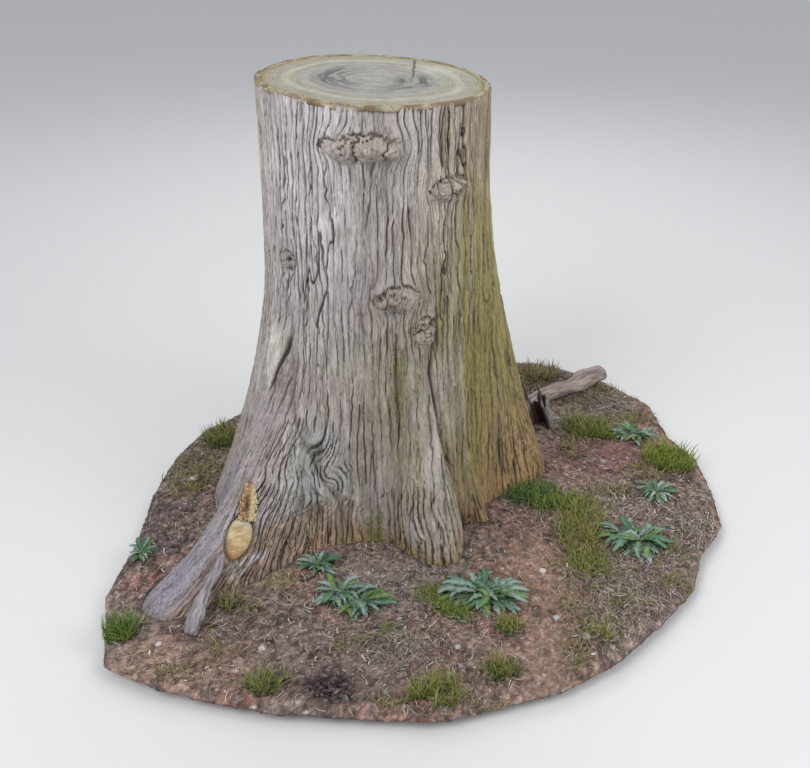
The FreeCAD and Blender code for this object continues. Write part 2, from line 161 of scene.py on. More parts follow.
def cells(x, y, seed, period):
    """A cell pattern on a unit lattice: distance from an upright edge, cell number, place across.

    Only the edges between neighbours that stand side by side count, so that plates run together
    at their ends."""
    xi, yi, _, _ = lattice(x, y)
    first = np.full(x.shape, 9.0)
    second = first.copy()
    number = np.zeros(x.shape)
    across = np.zeros(x.shape)
    first_x, first_y = np.zeros(x.shape), np.zeros(x.shape)
    second_x, second_y = np.zeros(x.shape), np.zeros(x.shape)
    for dx in (-1, 0, 1):
        for dy in (-1, 0, 1):
            wrapped = (xi + dx) % period
            px = xi + dx + 0.5 + 0.8 * (hash01(wrapped, yi + dy, seed) - 0.5)
            py = yi + dy + 0.5 + 0.9 * (hash01(wrapped, yi + dy, seed + 1) - 0.5)
            distance = np.hypot(x - px, y - py)
            nearer = distance < first
            between = ~nearer & (distance < second)
            second_x = np.where(nearer, first_x, np.where(between, px, second_x))
            second_y = np.where(nearer, first_y, np.where(between, py, second_y))
            first_x = np.where(nearer, px, first_x)
            first_y = np.where(nearer, py, first_y)
            second = np.where(nearer, first, np.minimum(second, distance))
            number = np.where(nearer, hash01(wrapped, yi + dy, seed + 2), number)
            across = np.where(nearer, x - px, across)
            first = np.where(nearer, distance, first)
    apart_x, apart_y = np.abs(second_x - first_x), np.abs(second_y - first_y)
    upright = apart_x / (np.hypot(apart_x, apart_y) + 1e-9)
    return second - first + 1.2 * smooth(0.75, 0.35, upright), number, across


def smooth(low, high, value):
    """0 below low, 1 above high, and a smooth step between."""
    t = np.clip((value - low) / (high - low), 0, 1)
    return t * t * (3 - 2 * t)


def bell(value, width):
    return np.exp(-((value / width) ** 2))


def mix(base, colour, share):
    """Blend rows of colour towards one colour by a share for each row."""
    return base + (np.asarray(colour) - base) * np.asarray(share)[:, None]


# ---------------------------------------------------------------- the CAD stump as a surface

def node_triangles(name, offset):
    """Vertices and triangles of a CAD node, for a ray cast."""
    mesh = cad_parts[name].data
    mesh.calc_loop_triangles()
    points = np.empty(len(mesh.vertices) * 3)
    mesh.vertices.foreach_get("co", points)
    corners = np.empty(len(mesh.loop_triangles) * 3, np.int64)
    mesh.loop_triangles.foreach_get("vertices", corners)
    return points.reshape(-1, 3), corners.reshape(-1, 3) + offset


# The grid of turns and levels on which the stump is measured, and where its rays start.
CAST_TURNS = 360
CAST_STEP = 0.01
CAST_LOW = GROUND - 0.03
CAST_LEVELS = 148
CAST_FROM = 2.0


def cast_stump():
    """Distance from the axis to the CAD stump on a grid, and which root it is there (0: none)."""
    points, triangles, owners = [], [], []
    offset = 0
    for name in ("trunk_bark",) + ROOTS + GROWTHS + LIMB:
        node_points, node_faces = node_triangles(name, offset)
        points.append(node_points)
        triangles.append(node_faces)
        owner = ROOTS.index(name) + 1 if name in ROOTS else int(name in LIMB)
        owners += [owner] * len(node_faces)
        offset += len(node_points)
    tree = BVHTree.FromPolygons(
        np.concatenate(points).tolist(), np.concatenate(triangles).tolist()
    )
    radius = np.full((CAST_LEVELS, CAST_TURNS), np.nan)
    root = np.zeros((CAST_LEVELS, CAST_TURNS), int)
    levels = CAST_LOW + np.arange(CAST_LEVELS) * CAST_STEP
    for column in range(CAST_TURNS):
        turn = TAU * column / CAST_TURNS
        out = Vector((math.cos(turn), math.sin(turn), 0))
        for row, level in enumerate(levels):
            start = out * CAST_FROM + Vector((0, 0, level))
            place, _, face, distance = tree.ray_cast(start, -out, CAST_FROM - 0.2)
            if place is not None:
                radius[row, column] = CAST_FROM - distance
                root[row, column] = owners[face]
    for row in range(1, CAST_LEVELS):
        missing = np.isnan(radius[row])
        radius[row, missing] = radius[row - 1, missing]
    return radius, root


def blurred(grid, passes):
    """Take the facets out of a grid that wraps round in its second direction."""
    for _ in range(passes):
        around = (np.roll(grid, 1, 1) + 2 * grid + np.roll(grid, -1, 1)) / 4
        padded = np.pad(around, ((1, 1), (0, 0)), mode="reflect", reflect_type="odd")
        grid = (padded[:-2] + 2 * padded[1:-1] + padded[2:]) / 4
    return grid


radius_grid, root_grid = cast_stump()
radius_grid = blurred(radius_grid, passes=2)


def sample(grid, turn, level):
    """Read a grid of the stump at turns and levels, smoothly between its points."""
    x = (turn / TAU) % 1.0 * CAST_TURNS
    y = np.clip((level - CAST_LOW) / CAST_STEP, 0, CAST_LEVELS - 1.001)
    xi, yi, fx, fy = lattice(x, y)
    x0 = xi % CAST_TURNS
    x1 = (xi + 1) % CAST_TURNS
    low = grid[yi, x0] * (1 - fx) + grid[yi, x1] * fx
    high = grid[yi + 1, x0] * (1 - fx) + grid[yi + 1, x1] * fx
    return low * (1 - fy) + high * fy


two_turns_on = np.roll(radius_grid, -1, 1) - np.roll(radius_grid, 1, 1)
turn_slope_grid = two_turns_on / (2 * TAU / CAST_TURNS)
level_slope_grid = np.gradient(radius_grid, CAST_STEP, axis=0)


def root_top(turn):
    """The level up to which the CAD stump is a root, for each turn; the ground where there is none."""
    is_root = root_grid > 0
    tops = np.where(is_root.any(0), CAST_LEVELS - 1 - is_root[::-1].argmax(0), 0)
    tops = CAST_LOW + tops * CAST_STEP
    tops = (np.roll(tops, 1) + 2 * tops + np.roll(tops, -1)) / 4
    x = (turn / TAU) % 1.0 * CAST_TURNS
    return np.interp(x, np.arange(CAST_TURNS + 1), np.append(tops, tops[0]))


FACING_WEIGHT = 10.0         # makes facing up count for more than lying high


def cut_plane():
    """A point on the saw cut and its upward normal, from the top face of the heartwood."""
    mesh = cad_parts["heartwood"].data
    top = max(mesh.polygons, key=lambda face: FACING_WEIGHT * face.normal.z + face.center.z)
    return top.center.copy(), top.normal.copy()


CUT_POINT, CUT_NORMAL = cut_plane()


def cut_level(x, y):
    """Height of the saw cut over a point."""
    slope = CUT_NORMAL.x * (x - CUT_POINT.x) + CUT_NORMAL.y * (y - CUT_POINT.y)
    return CUT_POINT.z - slope / CUT_NORMAL.z


def core_radius(turn):
    """Radius of the wood inside the bark, the same at every height."""
    top = np.full_like(turn, CUT_POINT.z - CLEAR_OF_CUT)
    return sample(radius_grid, turn, top) - BARK_THICKNESS


# ---------------------------------------------------------------- growths on the bark

def spot(node):
    """Where a CAD growth sits: its turn, its level, half its width and half its height."""
    low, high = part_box(node)
    centre = (low + high) / 2
    turn = math.atan2(centre.y, centre.x)
    girth = abs(math.sin(turn)) * (high.x - low.x) + abs(math.cos(turn)) * (high.y - low.y)
    return turn, centre.z, girth / 2, (high.z - low.z) / 2


def apart(turn, other):
    """The signed angle from another turn."""
    return (turn - other + math.pi) % TAU - math.pi


def local(turn, level, radius, node):
    """Place across and up from a growth's centre, in its half sizes."""
    at, height, half_width, half_height = spot(node)
    return apart(turn, at) * radius / half_width, (level - height) / half_height


def knot(across, up, seed, lumps):
    """A callused knot: lumps with wrinkles round them, and creases between and above that are sunk in
    and darkened with painted shade.
    """
    x = across + 0.22 * layered(across * 1.7, up * 1.7, seed, 3)
    y = up + 0.26 * layered(across * 1.7 + 9, up * 1.7, seed + 1, 3)
    whole = np.hypot(x, y)
    inside = smooth(1.18, 0.85, whole)
    lift = np.zeros_like(across)
    nearest = np.full_like(across, 9.0)
    second = nearest.copy()
    for centre_x, centre_y, half_x, half_y, height in lumps:
        reach = np.hypot((x - centre_x) / half_x, (y - centre_y) / half_y)
        lift = np.maximum(lift, height * smooth(1.15, 0.15, reach))
        second = np.where(reach < nearest, nearest, np.minimum(second, reach))
        nearest = np.minimum(nearest, reach)
    wrinkles = np.sin(nearest * 17 + 6 * layered(x * 2.6, y * 2.6, seed + 2, 3))
    lift = lift + 0.0013 * wrinkles * inside
    lift = lift + 0.0034 * layered(x * 3.6, y * 3.6, seed + 6, 3) * inside
    cracks = bell(layered(x * 2.7, y * 2.7, seed + 3, 3), 0.055) * inside
    cracks = cracks * smooth(-0.45, 0.15, noise(x * 2.1, y * 2.1, seed + 4))
    above = bell(whole - 1.0 + 0.06 * wrinkles, 0.065)
    above = above * smooth(-0.25, 0.35, up + 0.9 * noise(x * 3.1, y * 3.1, seed + 5))
    between = bell(second - nearest, 0.08) * inside * smooth(0.3, 0.7, nearest)
    folds = smooth(-0.55, -0.95, wrinkles) * inside
    # crease: where the knot is sunk in and darkened with painted shade, in its cracks, above it, between
    # its lumps and in the troughs of its wrinkles.
    crease = np.maximum.reduce([0.85 * cracks, 0.85 * above, 0.85 * between, 0.22 * folds])
    return lift - 0.005 * crease, crease, inside


# The lumps of each knot: centre and half sizes in the knot's own half sizes, and height in metres.
KNOTS = {
    "branch_knot_upper": (
        (-0.52, 0.05, 0.52, 0.85, 0.013),
        (0.18, 0.10, 0.50, 0.85, 0.016),
        (0.72, -0.20, 0.34, 0.62, 0.013),
    ),
    "branch_knot_right": (
        (0.28, 0.10, 0.40, 0.55, 0.010),
        (-0.45, -0.15, 0.60, 0.75, 0.012),
        (0.72, 0.20, 0.50, 0.70, 0.010),
    ),
    "branch_knot_left": ((0.0, 0.0, 0.7, 0.8, 0.006),),
    "branch_knot_middle": ((0.20, 0.15, 0.75, 0.95, 0.019), (-0.70, -0.1, 0.34, 0.45, 0.008)),
    "branch_knot_lower": ((-0.1, -0.25, 0.80, 0.80, 0.016), (-0.35, 0.70, 0.75, 0.5, 0.014)),
}
# Holes in the knots: centre and half sizes in the knot's own half sizes.
HOLES = (
    ("branch_knot_lower", 0.75, 0.50, 0.34, 0.20),
    ("branch_knot_left", 0.25, 0.25, 0.42, 0.26),
    ("branch_knot_left", 0.35, -0.75, 0.3, 0.2),
    ("branch_knot_middle", -0.85, 0.1, 0.16, 0.22),
)
HOLE_DEPTH = 0.020
KNOT_REACH = 4               # how far a knot pushes the grain aside, in its half sizes

# The raised band of bark that runs from the middle knots into the front root, and the groove on
# its right: levels above the ground, and the turns in degrees of their middles there.
BAND_LEVELS = (0.0, 0.28, 0.47, 0.70, 0.88)
BAND_TURNS = (-66.0, -68.0, -72.0, -72.0, -75.0)
GROOVE_LEVELS = (0.0, 0.03, 0.39, 0.62, 0.76)
GROOVE_TURNS = (-49.0, -49.0, -60.0, -63.0, -58.5)
GROOVE_DEPTH = 0.018
# A shorter groove along the left side of the band, this far from the band's middle.
LEFT_GROOVE_OFFSET = 0.052
LEFT_GROOVE_DEPTH = 0.007
# The seam on the left where the flaring root leaves the trunk.
SEAM_LEVELS = (0.0, 0.20, 0.45, 0.62)
SEAM_TURNS = (-101.0, -108.0, -124.0, -133.0)
SEAM_DEPTH = 0.016


def beside(turn, level, levels, turns, radius):
    """Distance across the bark from a line that climbs it."""
    middle = np.radians(np.interp(level - GROUND, levels, turns))
    return apart(turn, middle) * radius


def landmarks(turn, level, radius):
    """The knots and folds: lift, crevice (how deep it sinks and where painted shade darkens it), how far
    the grain is pushed aside, and where it is calm.
    """
    lift = np.zeros_like(turn)
    crevice = np.zeros_like(turn)
    push = np.zeros_like(turn)
    calm = np.zeros_like(turn)
    for index, (node, lumps) in enumerate(KNOTS.items()):
        across, up = local(turn, level, radius, node)
        near = (abs(across) < KNOT_REACH) & (abs(up) < KNOT_REACH)
        across, up = across[near], up[near]
        raised, crease, inside = knot(across, up, 100 + 10 * index, lumps)
        lift[near] += raised
        crevice[near] = np.maximum(crevice[near], crease)
        calm[near] = np.maximum(calm[near], inside)
        half_width = spot(node)[2]
        push[near] -= across * half_width * 0.6 * np.exp(-(across ** 2 + up ** 2) / 1.1)
    for node, x, y, half_x, half_y in HOLES:
        across, up = local(turn, level, radius, node)
        hole = bell(np.hypot((across - x) / half_x, (up - y) / half_y), 1.0)
        lift -= HOLE_DEPTH * hole
        # The holes are darkened with painted shade.
        crevice = np.maximum(crevice, hole)
    fold_lift, fold_crevice = folds(turn, level, radius)
    return lift + fold_lift, np.maximum(crevice, fold_crevice), push, calm


def folds(turn, level, radius):
    """The band with a groove on each side that runs into the front root, and the seam on the left: their
    lift, and the painted shade in the grooves and the seam.
    """
    height = level - GROUND
    band = beside(turn, level, BAND_LEVELS, BAND_TURNS, radius)
    band_shown = smooth(0.92, 0.80, height) * smooth(-0.1, 0.2, height)
    band_width = np.interp(height, (0, 0.15, 0.3, 0.8), (0.118, 0.084, 0.060, 0.034))
    band_lift = np.interp(height, (0, 0.10, 0.35), (0.034, 0.026, 0.013))
    lift = band_lift * np.exp(-((band / band_width) ** 4)) * band_shown
    groove = beside(turn, level, GROOVE_LEVELS, GROOVE_TURNS, radius)
    groove_shown = smooth(0.80, 0.72, height)
    groove_width = np.interp(height, (0, 0.1, 0.4, 0.8), (0.034, 0.022, 0.010, 0.008))
    lift -= GROOVE_DEPTH * bell(groove, groove_width) * groove_shown
    groove_shade = bell(groove, 0.6 * groove_width) * groove_shown
    left_side = bell(band + LEFT_GROOVE_OFFSET, 0.007)
    left_side = left_side * smooth(0.80, 0.70, height) * smooth(0.36, 0.46, height)
    lift -= LEFT_GROOVE_DEPTH * left_side
    seam = beside(turn, level, SEAM_LEVELS, SEAM_TURNS, radius)
    seam_shown = smooth(0.70, 0.56, height)
    lift -= SEAM_DEPTH * bell(seam, 0.016) * seam_shown
    seam_shade = bell(seam, 0.006) * seam_shown
    return lift, np.maximum.reduce([0.92 * groove_shade, 0.55 * left_side, 0.5 * seam_shade])


def plain_point(turn, level):
    """A point on the smooth stump, at one turn and level."""
    radius = sample(radius_grid, np.array([turn]), np.array([level]))[0]
    return np.array([radius * math.cos(turn), radius * math.sin(turn), level])


def face_axes(centre, normal):
    """A centre, its normal, the way up along the face and the way across it."""
    side = np.cross((0, 0, 1.0), normal)
    side /= np.linalg.norm(side)
    return centre, normal, np.cross(normal, side), side


def flat_face(node):
    """The axes of the largest flat face of a CAD node that looks outwards."""
    area = {}
    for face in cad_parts[node].data.polygons:
        key = tuple(round(value, 2) for value in face.normal)
        if face.normal.dot(Vector((face.center.x, face.center.y, 0))) > 0:
            total, place = area.get(key, (0.0, Vector()))
            area[key] = (total + face.area, place + face.center * face.area)
    key, (total, place) = max(area.items(), key=lambda entry: entry[1][0])
    return face_axes(np.array(place / total), np.array(Vector(key).normalized()))


def bark_face(node):
    """The axes of the smooth stump's surface where a CAD node sits on it."""
    turn, level, _, _ = spot(node)
    step = 0.02
    centre = plain_point(turn, level)
    across = plain_point(turn + step, level) - plain_point(turn - step, level)
    rise = plain_point(turn, level + step) - plain_point(turn, level - step)
    normal = np.cross(across, rise)
    return face_axes(centre, normal / np.linalg.norm(normal))


def leaning(face, degrees, rise):
    """The same face moved up its own plane, with its long axis leaning to the right."""
    centre, normal, up, side = face
    cos, sin = math.cos(math.radians(degrees)), math.sin(math.radians(degrees))
    return centre + up * rise, normal, up * cos + side * sin, side * cos - up * sin


CUT_HALF_WIDTH = 0.043
CUT_HALF_HEIGHT = 0.074
ROT_HALF_WIDTH = 0.027
ROT_HALF_HEIGHT = 0.056
CUT_FACE = leaning(flat_face("sawn_limb_face"), 26.0, -0.012)
ROT_FACE = leaning(bark_face("rotten_limb_wood"), 5.0, -0.018)
WOUNDS = ((CUT_FACE, CUT_HALF_WIDTH, CUT_HALF_HEIGHT), (ROT_FACE, ROT_HALF_WIDTH, ROT_HALF_HEIGHT))


def wounds(points):
    """How far each point of the bark is from the open wounds, and its height over their faces."""
    reach = np.full(len(points), 9.0)
    above = np.zeros(len(points))
    for (centre, normal, up, side), half_width, half_height in WOUNDS:
        offset = points - centre
        near = np.linalg.norm(offset, axis=1) < 0.2
        distance = np.where(near, np.hypot(offset @ side / half_width, offset @ up / half_height), 9.0)
        above = np.where(distance < reach, offset @ normal, above)
        reach = np.minimum(reach, distance)
    return reach, above


def flap(turn, level, radius):
    """The smooth tongue of loose bark on the left, with a crack down each side of it."""
    across, up = local(turn, level, radius, "bark_flap")
    half = np.interp(up, (-1.0, -0.3, 0.6, 1.0), (0.02, 0.42, 0.85, 1.0))
    side = np.abs(across) / half
    shown = smooth(-1.05, -0.9, up) * smooth(1.5, 0.9, up)
    lift = 0.010 * smooth(1.25, 0.85, side) * shown
    # The cracks are sunk in and darkened with painted shade.
    crack = 0.9 * bell(side - 1.12, 0.16) * smooth(1.3, 0.7, up) * smooth(-1.15, -0.95, up)
    return lift, crack, smooth(1.1, 0.8, side) * shown


def burl(turn, level, radius):
    """The curly burl at the foot, on the left: ropy folds that curl, with lichen on them."""
    across, up = local(turn, level, radius, "left_burl")
    inside = smooth(1.5, 0.7, np.hypot(across * 0.85 + 0.25 * up, up * 0.8))
    x = across + 0.55 * layered(across * 0.8, up * 1.2, 61, 2)
    y = up + 0.35 * layered(across * 0.8 + 5, up * 1.2, 62, 2)
    curls = layered(x * 1.15, y * 1.5, 63, 3)
    folds = 0.5 + 0.5 * np.sin(25 * x + 5.5 * np.sin(3.2 * y) + 10 * curls)
    # Painted shade in the troughs between the folds, which are also sunk in.
    dark = smooth(0.16, 0.0, folds) * smooth(-0.25, 0.35, noise(x * 2.4, y * 2.4, 64))
    return inside, inside * (0.0055 * folds + 0.016 * curls), inside * dark * 0.85


# ---------------------------------------------------------------- bark relief

PLATE_WIDTH, PLATE_LENGTH = 0.0240, 0.30
SHRED_WIDTH, SHRED_LENGTH = 0.0100, 0.085
FURROW_SPACING, FURROW_LENGTH = 0.066, 0.75
FURROW_DEPTH = 0.0062
SHRED_DEPTH = 0.0026
LONG_FURROW_DEPTH = 0.0078
CRACK_DEPTH = 0.010
CREVICE_DEPTH = 0.009
WOUND_DEPTH = 0.008
WOUND_LIP = 0.006


def plates(turn, along, push, stretch, width, length, seed):
    """Long plates of bark. Where the girth is stretched out over a root, they split into more."""
    count = round(TAU * TRUNK_RADIUS / width)
    edge = np.full_like(turn, 9.0)
    number = np.zeros_like(turn)
    across = np.zeros_like(turn)
    level = np.clip(np.log2(np.maximum(stretch, 1)), 0, 3)
    shares = np.array([np.clip(1 - np.abs(level - octave), 0, 1) ** 4 for octave in range(4)])
    most = shares.max(0)
    total = shares.sum(0)
    ropy = 1 + 1.3 * smooth(1.4, 2.6, stretch)
    for octave in range(4):
        used = shares[octave] > 0.01
        if not used.any():
            continue
        share = shares[octave][used]
        turns = turn[used] / TAU + push[used] / (TAU * TRUNK_RADIUS)
        wander = 0.30 * noise(turns * 46, along[used] / 0.13, seed + 3, 46) * ropy[used]
        wander += 0.7 * noise(turns * 12, along[used] / 0.6, seed + 4, 12)
        wander += 0.14 * noise(turns * 150, along[used] / 0.028, seed + 5, 150)
        x = turns * count * 2 ** octave + wander
        near, which, place = cells(x, along[used] / length, seed + 11 * octave, count * 2 ** octave)
        edge[used] = np.minimum(edge[used], near + 0.35 * (1 - share / most[used]))
        number[used] += which * share / total[used]
        across[used] += place * share / total[used]
    return edge, number, across


def bark(turn, level):
    """The outside of the bark: its points, outward directions, colours and grain coordinates."""
    turn, level = np.broadcast_arrays(np.asarray(turn, float), np.asarray(level, float))
    shape = turn.shape
    turn = turn.ravel()
    level = level.ravel()
    radius = sample(radius_grid, turn, level)
    turn_slope = sample(turn_slope_grid, turn, level)
    level_slope = sample(level_slope_grid, turn, level)
    cos, sin = np.cos(turn), np.sin(turn)
    girth = np.stack([turn_slope * cos - radius * sin, turn_slope * sin + radius * cos, 0 * turn], 1)
    rise = np.stack([level_slope * cos, level_slope * sin, np.ones_like(turn)], 1)
    out = np.cross(girth, rise)
    out /= np.linalg.norm(out, axis=1)[:, None]
    stretch = np.linalg.norm(girth, axis=1) / TRUNK_RADIUS
    along = level - 0.9 * (radius - TRUNK_RADIUS)
    height = level - GROUND

    lift, crevice, push, calm = landmarks(turn, level, radius)
    flap_lift, flap_crack, flap_mask = flap(turn, level, radius)
    burl_mask, burl_lift, burl_crack = burl(turn, level, radius)
    calm = np.maximum(calm, np.maximum(flap_mask, 0.55 * burl_mask))

    where = turn, along, push, stretch
    edge, number, across = plates(*where, PLATE_WIDTH, PLATE_LENGTH, 200)
    fine_edge, fine_number, _ = plates(*where, SHRED_WIDTH, SHRED_LENGTH, 300)
    long_edge, _, _ = plates(*where, FURROW_SPACING, FURROW_LENGTH, 400)
    furrow, fine, deep = furrows(turn, along, height, stretch, edge, fine_edge, long_edge)
    turns = turn / TAU
    rough = 1 - 0.88 * calm
    tilt = across * np.sign(number - 0.5)
    relief = -FURROW_DEPTH * furrow - SHRED_DEPTH * fine - LONG_FURROW_DEPTH * deep
    relief += 0.0028 * (number - 0.5) + 0.0034 * tilt + 0.0008 * (fine_number - 0.5)
    relief *= rough
    relief += 0.0035 * noise(turns * 22, along / 0.5, 503, 22) * rough
    relief += 0.0016 * layered(turns * 210, along / 0.032, 506, 3) * rough
    relief += 0.0022 * calm * layered(turns * 260, level / 0.018, 504, 3)
    relief += lift + flap_lift + burl_lift
    relief -= CRACK_DEPTH * np.maximum(flap_crack, burl_crack) + CREVICE_DEPTH * crevice * calm
    relief *= 0.35 + 0.65 * smooth(-0.02, 0.03, height)
    smooth_points = np.stack([radius * cos, radius * sin, level], 1)
    wound, above = wounds(smooth_points)
    relief -= (relief + np.maximum(above, 0) + WOUND_DEPTH) * smooth(1.10, 0.99, wound)
    relief += WOUND_LIP * bell(wound - 1.22, 0.14)
    # Painted shade in a ring round the edge of each wound, where the bark sinks in.
    crevice = np.maximum(crevice, 0.85 * bell(wound - 1.04, 0.05))

    points = smooth_points + out * relief[:, None]
    # Where painted shade darkens the bark: its furrows, cracks, creases, grooves, holes and the ring
    # round each wound.
    crack = np.maximum.reduce([
        0.74 * furrow * rough, 0.50 * fine * rough, 0.97 * deep * rough, crevice, flap_crack, burl_crack,
    ])
    masks = calm, flap_mask, burl_mask
    colour = bark_colour(turn, level, radius, along, number, fine_number, crack, masks)
    grain = np.stack([turn * TRUNK_RADIUS * 1.3, along, radius], 1)
    return [array.reshape(shape + (3,)) for array in (points, out, colour, grain)]


def furrows(turn, along, height, stretch, edge, fine_edge, long_edge):
    """How deep the bark is furrowed: between its plates, between its shreds, and in long furrows."""
    turns = turn / TAU
    degrees = np.degrees(apart(turn, 0.0))
    left_root = smooth(-120, -132, degrees) * smooth(0.30, 0.14, height)
    rooted = 1 + 0.85 * smooth(1.2, 1.9, stretch) * (1 - left_root) - 0.45 * left_root
    strength = 0.66 + 0.80 * layered(turns * 34, along / 0.16, 501, 3)
    gnarly = smooth(0.62, 0.40, height) * smooth(-136, -127, degrees) * smooth(-46, -60, degrees)
    strength = strength + 0.30 * gnarly
    furrow = bell(edge, 0.19) * np.clip(strength * rooted, 0.10, 1.40)
    shredded = smooth(-0.45, 0.35, layered(turns * 60, along / 0.09, 505, 2))
    fine = bell(fine_edge, 0.24) * shredded * rooted
    deep = bell(long_edge, 0.060) * smooth(-0.2, 0.5, noise(turns * 9, along / 0.5, 502, 9))
    return furrow, fine, deep


# Spots of pale lichen low on the left root: turn in degrees, height above the ground, radius.
LICHEN_SPOTS = ((-122.8, 0.078, 0.015), (-125.4, 0.080, 0.011), (-124.2, 0.055, 0.008))

# Where the olive film of algae begins on the right: heights above the ground and turns there.
ALGAE_LEVELS = (0.15, 0.75, 1.15, 1.45)
ALGAE_TURNS = (-53.0, -65.0, -52.0, -36.0)
FRONT_ROOT_TURN = math.radians(-68.0)


def bark_colour(turn, level, radius, along, number, fine_number, crack, masks):
    """Grey-pink on the front and left, olive with algae on the right, rust at the foot."""
    calm, flap_mask, burl_mask = masks
    turns = turn / TAU
    height = level - GROUND
    degrees = np.degrees(apart(turn, 0.0))
    blotch = layered(turns * 18, level / 0.16, 601, 4)
    streak = noise(turns * 90, along / 0.30, 602, 90)
    colour = np.tile(BARK_GREY, (len(turn), 1))
    colour = mix(colour, BARK_PINK, smooth(-0.3, 0.5, blotch + 0.4 * streak))
    colour = weathered(colour, degrees, height, streak)
    colour = algae(colour, degrees, height, streak, blotch)
    colour = foot_tones(colour, turn, degrees, height, streak, blotch)
    colour = mix(colour, FLAP_BARK, 0.75 * flap_mask)
    colour = mix(colour, BURL_BARK, 0.80 * burl_mask * smooth(-0.15, 0.35, blotch + 0.5 * streak))
    for at, rise, size in LICHEN_SPOTS:
        reach = np.hypot(apart(turn, math.radians(at)) * radius, height - rise) / size
        colour = mix(colour, LICHEN, 0.70 * smooth(1.3, 0.6, reach + 0.25 * streak))
    rim = cut_level(radius * np.cos(turn), radius * np.sin(turn)) - level
    colour = mix(colour, RIM_BARK, 0.85 * smooth(0.007, 0.002, rim))
    colour = mix(colour, MOSS_GREEN, 0.85 * moss_share(turn, level))
    flake = layered(turns * 190, along / 0.040, 605, 3)
    colour = colour * (1 + 0.26 * (number - 0.5) + 0.26 * (fine_number - 0.5) + 0.24 * flake)[:, None]
    gnarled = calm * (1 - flap_mask)
    lumpy = layered(turns * 300, level / 0.02, 603, 3)
    colour = mix(colour, KNOT_BARK, gnarled * (0.60 + 0.35 * lumpy))
    # Painted shade in the furrows, cracks, creases, grooves and holes: brown and shaded where shallow,
    # near black where deep.
    colour = mix(colour, FURROW_BROWN_AND_SHADE, 0.80 * np.clip(crack, 0, 1))
    colour = mix(colour, CREVICE_SHADE, np.clip(crack, 0, 0.95) * smooth(0.10, 0.70, crack))
    return np.clip(colour, 0.01, 1)


def not_behind(degrees):
    """1 round the front and 0 at the back, where the degrees start again."""
    return smooth(178, 130, np.abs(degrees))


def weathered(colour, degrees, height, streak):
    """Bleached bark up the left, warmer bark low on the front, and less light lower down."""
    pale = smooth(-88, -112, degrees) * smooth(0.55, 1.00, height) * not_behind(degrees)
    colour = mix(colour, BARK_PALE, 0.55 * pale)
    front = smooth(-150, -95, degrees) * smooth(0.95, 0.35, height) * not_behind(degrees)
    colour = mix(colour, BARK_WARM, 0.75 * front * smooth(-0.8, 0.4, streak))
    colour = colour * (0.80 + 0.20 * smooth(0.55, 1.30, height))[:, None]
    return colour * (1 - 0.15 * smooth(-112, -92, degrees) * smooth(-40, -60, degrees))[:, None]


def algae(colour, degrees, height, streak, blotch):
    """The olive film on the right, thin at the back, with rust and red-brown at its two ends."""
    onset = np.interp(height, ALGAE_LEVELS, ALGAE_TURNS)
    side = smooth(-34, 36, degrees - onset + 12 * streak + 14 * blotch) * smooth(175, 110, degrees)
    side = np.maximum(side, 0.35 * np.maximum(smooth(100, 165, degrees), smooth(-150, -178, degrees)))
    colour = mix(colour, BARK_OLIVE, side * (0.84 + 0.16 * streak))
    colour = colour * (1 - side[:, None] * (0.09, 0.10, 0.17))
    right = smooth(-62, -25, degrees) * (1 - 0.55 * smooth(135, 178, degrees))
    back_foot = 0.45 * smooth(-150, -172, degrees) + right
    foot = smooth(0.52, 0.05, height + 0.09 * blotch) * back_foot
    colour = mix(colour, BARK_RUST, 0.80 * foot)
    upper_right = smooth(-52, -25, degrees + 10 * blotch) * smooth(20, -5, degrees)
    upper_right = smooth(1.05, 1.30, height) * upper_right
    return mix(colour, BARK_RED_BROWN, 0.65 * upper_right)


def foot_tones(colour, turn, degrees, height, streak, blotch):
    """Rust and damp along the ground, and the lilac, dusty bark of the left root."""
    toe = smooth(0.12, 0.01, height + 0.05 * blotch)
    fronted = smooth(-128, -112, degrees + 12 * blotch) * not_behind(degrees)
    front_root = smooth(0.10, 0.05, np.abs(apart(turn, FRONT_ROOT_TURN)) - 0.06)
    colour = mix(colour, BARK_RUST, 0.75 * toe * fronted * (1 - 0.55 * front_root))
    colour = colour * (1 + 0.12 * front_root * smooth(0.50, 0.30, height))[:, None]
    damp = smooth(0.045, 0.0, height + 0.03 * streak) * fronted
    colour = mix(colour, BARK_DAMP, 0.6 * damp)
    far = smooth(0.30, 0.08, height) * smooth(-112, -128, degrees) * smooth(-172, -150, degrees)
    colour = mix(colour, BARK_LILAC, 0.6 * far) * (1 - far[:, None] * (0.36, 0.34, 0.27))
    dusty = smooth(0.035, 0.005, height + 0.04 * blotch) * smooth(-120, -127, degrees)
    colour = mix(colour, BARK_DUSTY, 0.7 * dusty)
    flank = smooth(0.20, 0.12, height + 0.04 * blotch)
    flank = flank * smooth(-131, -126, degrees) * smooth(-98, -109, degrees)
    return mix(colour, BARK_FLANK, 0.80 * flank)


def moss_share(turn, level):
    """Where moss grows in the furrows: a strip up the front and a patch at its foot."""
    share = np.zeros_like(turn)
    for node in ("moss_strip", "moss_foot"):
        across, up = local(turn, level, TRUNK_RADIUS, node)
        patchy = 0.5 + layered(across * 0.9, up * 5, 71, 3)
        share = np.maximum(share, smooth(1.3, 0.5, np.hypot(across, up)) * np.clip(patchy, 0, 1))
    return share


# ---------------------------------------------------------------- meshes

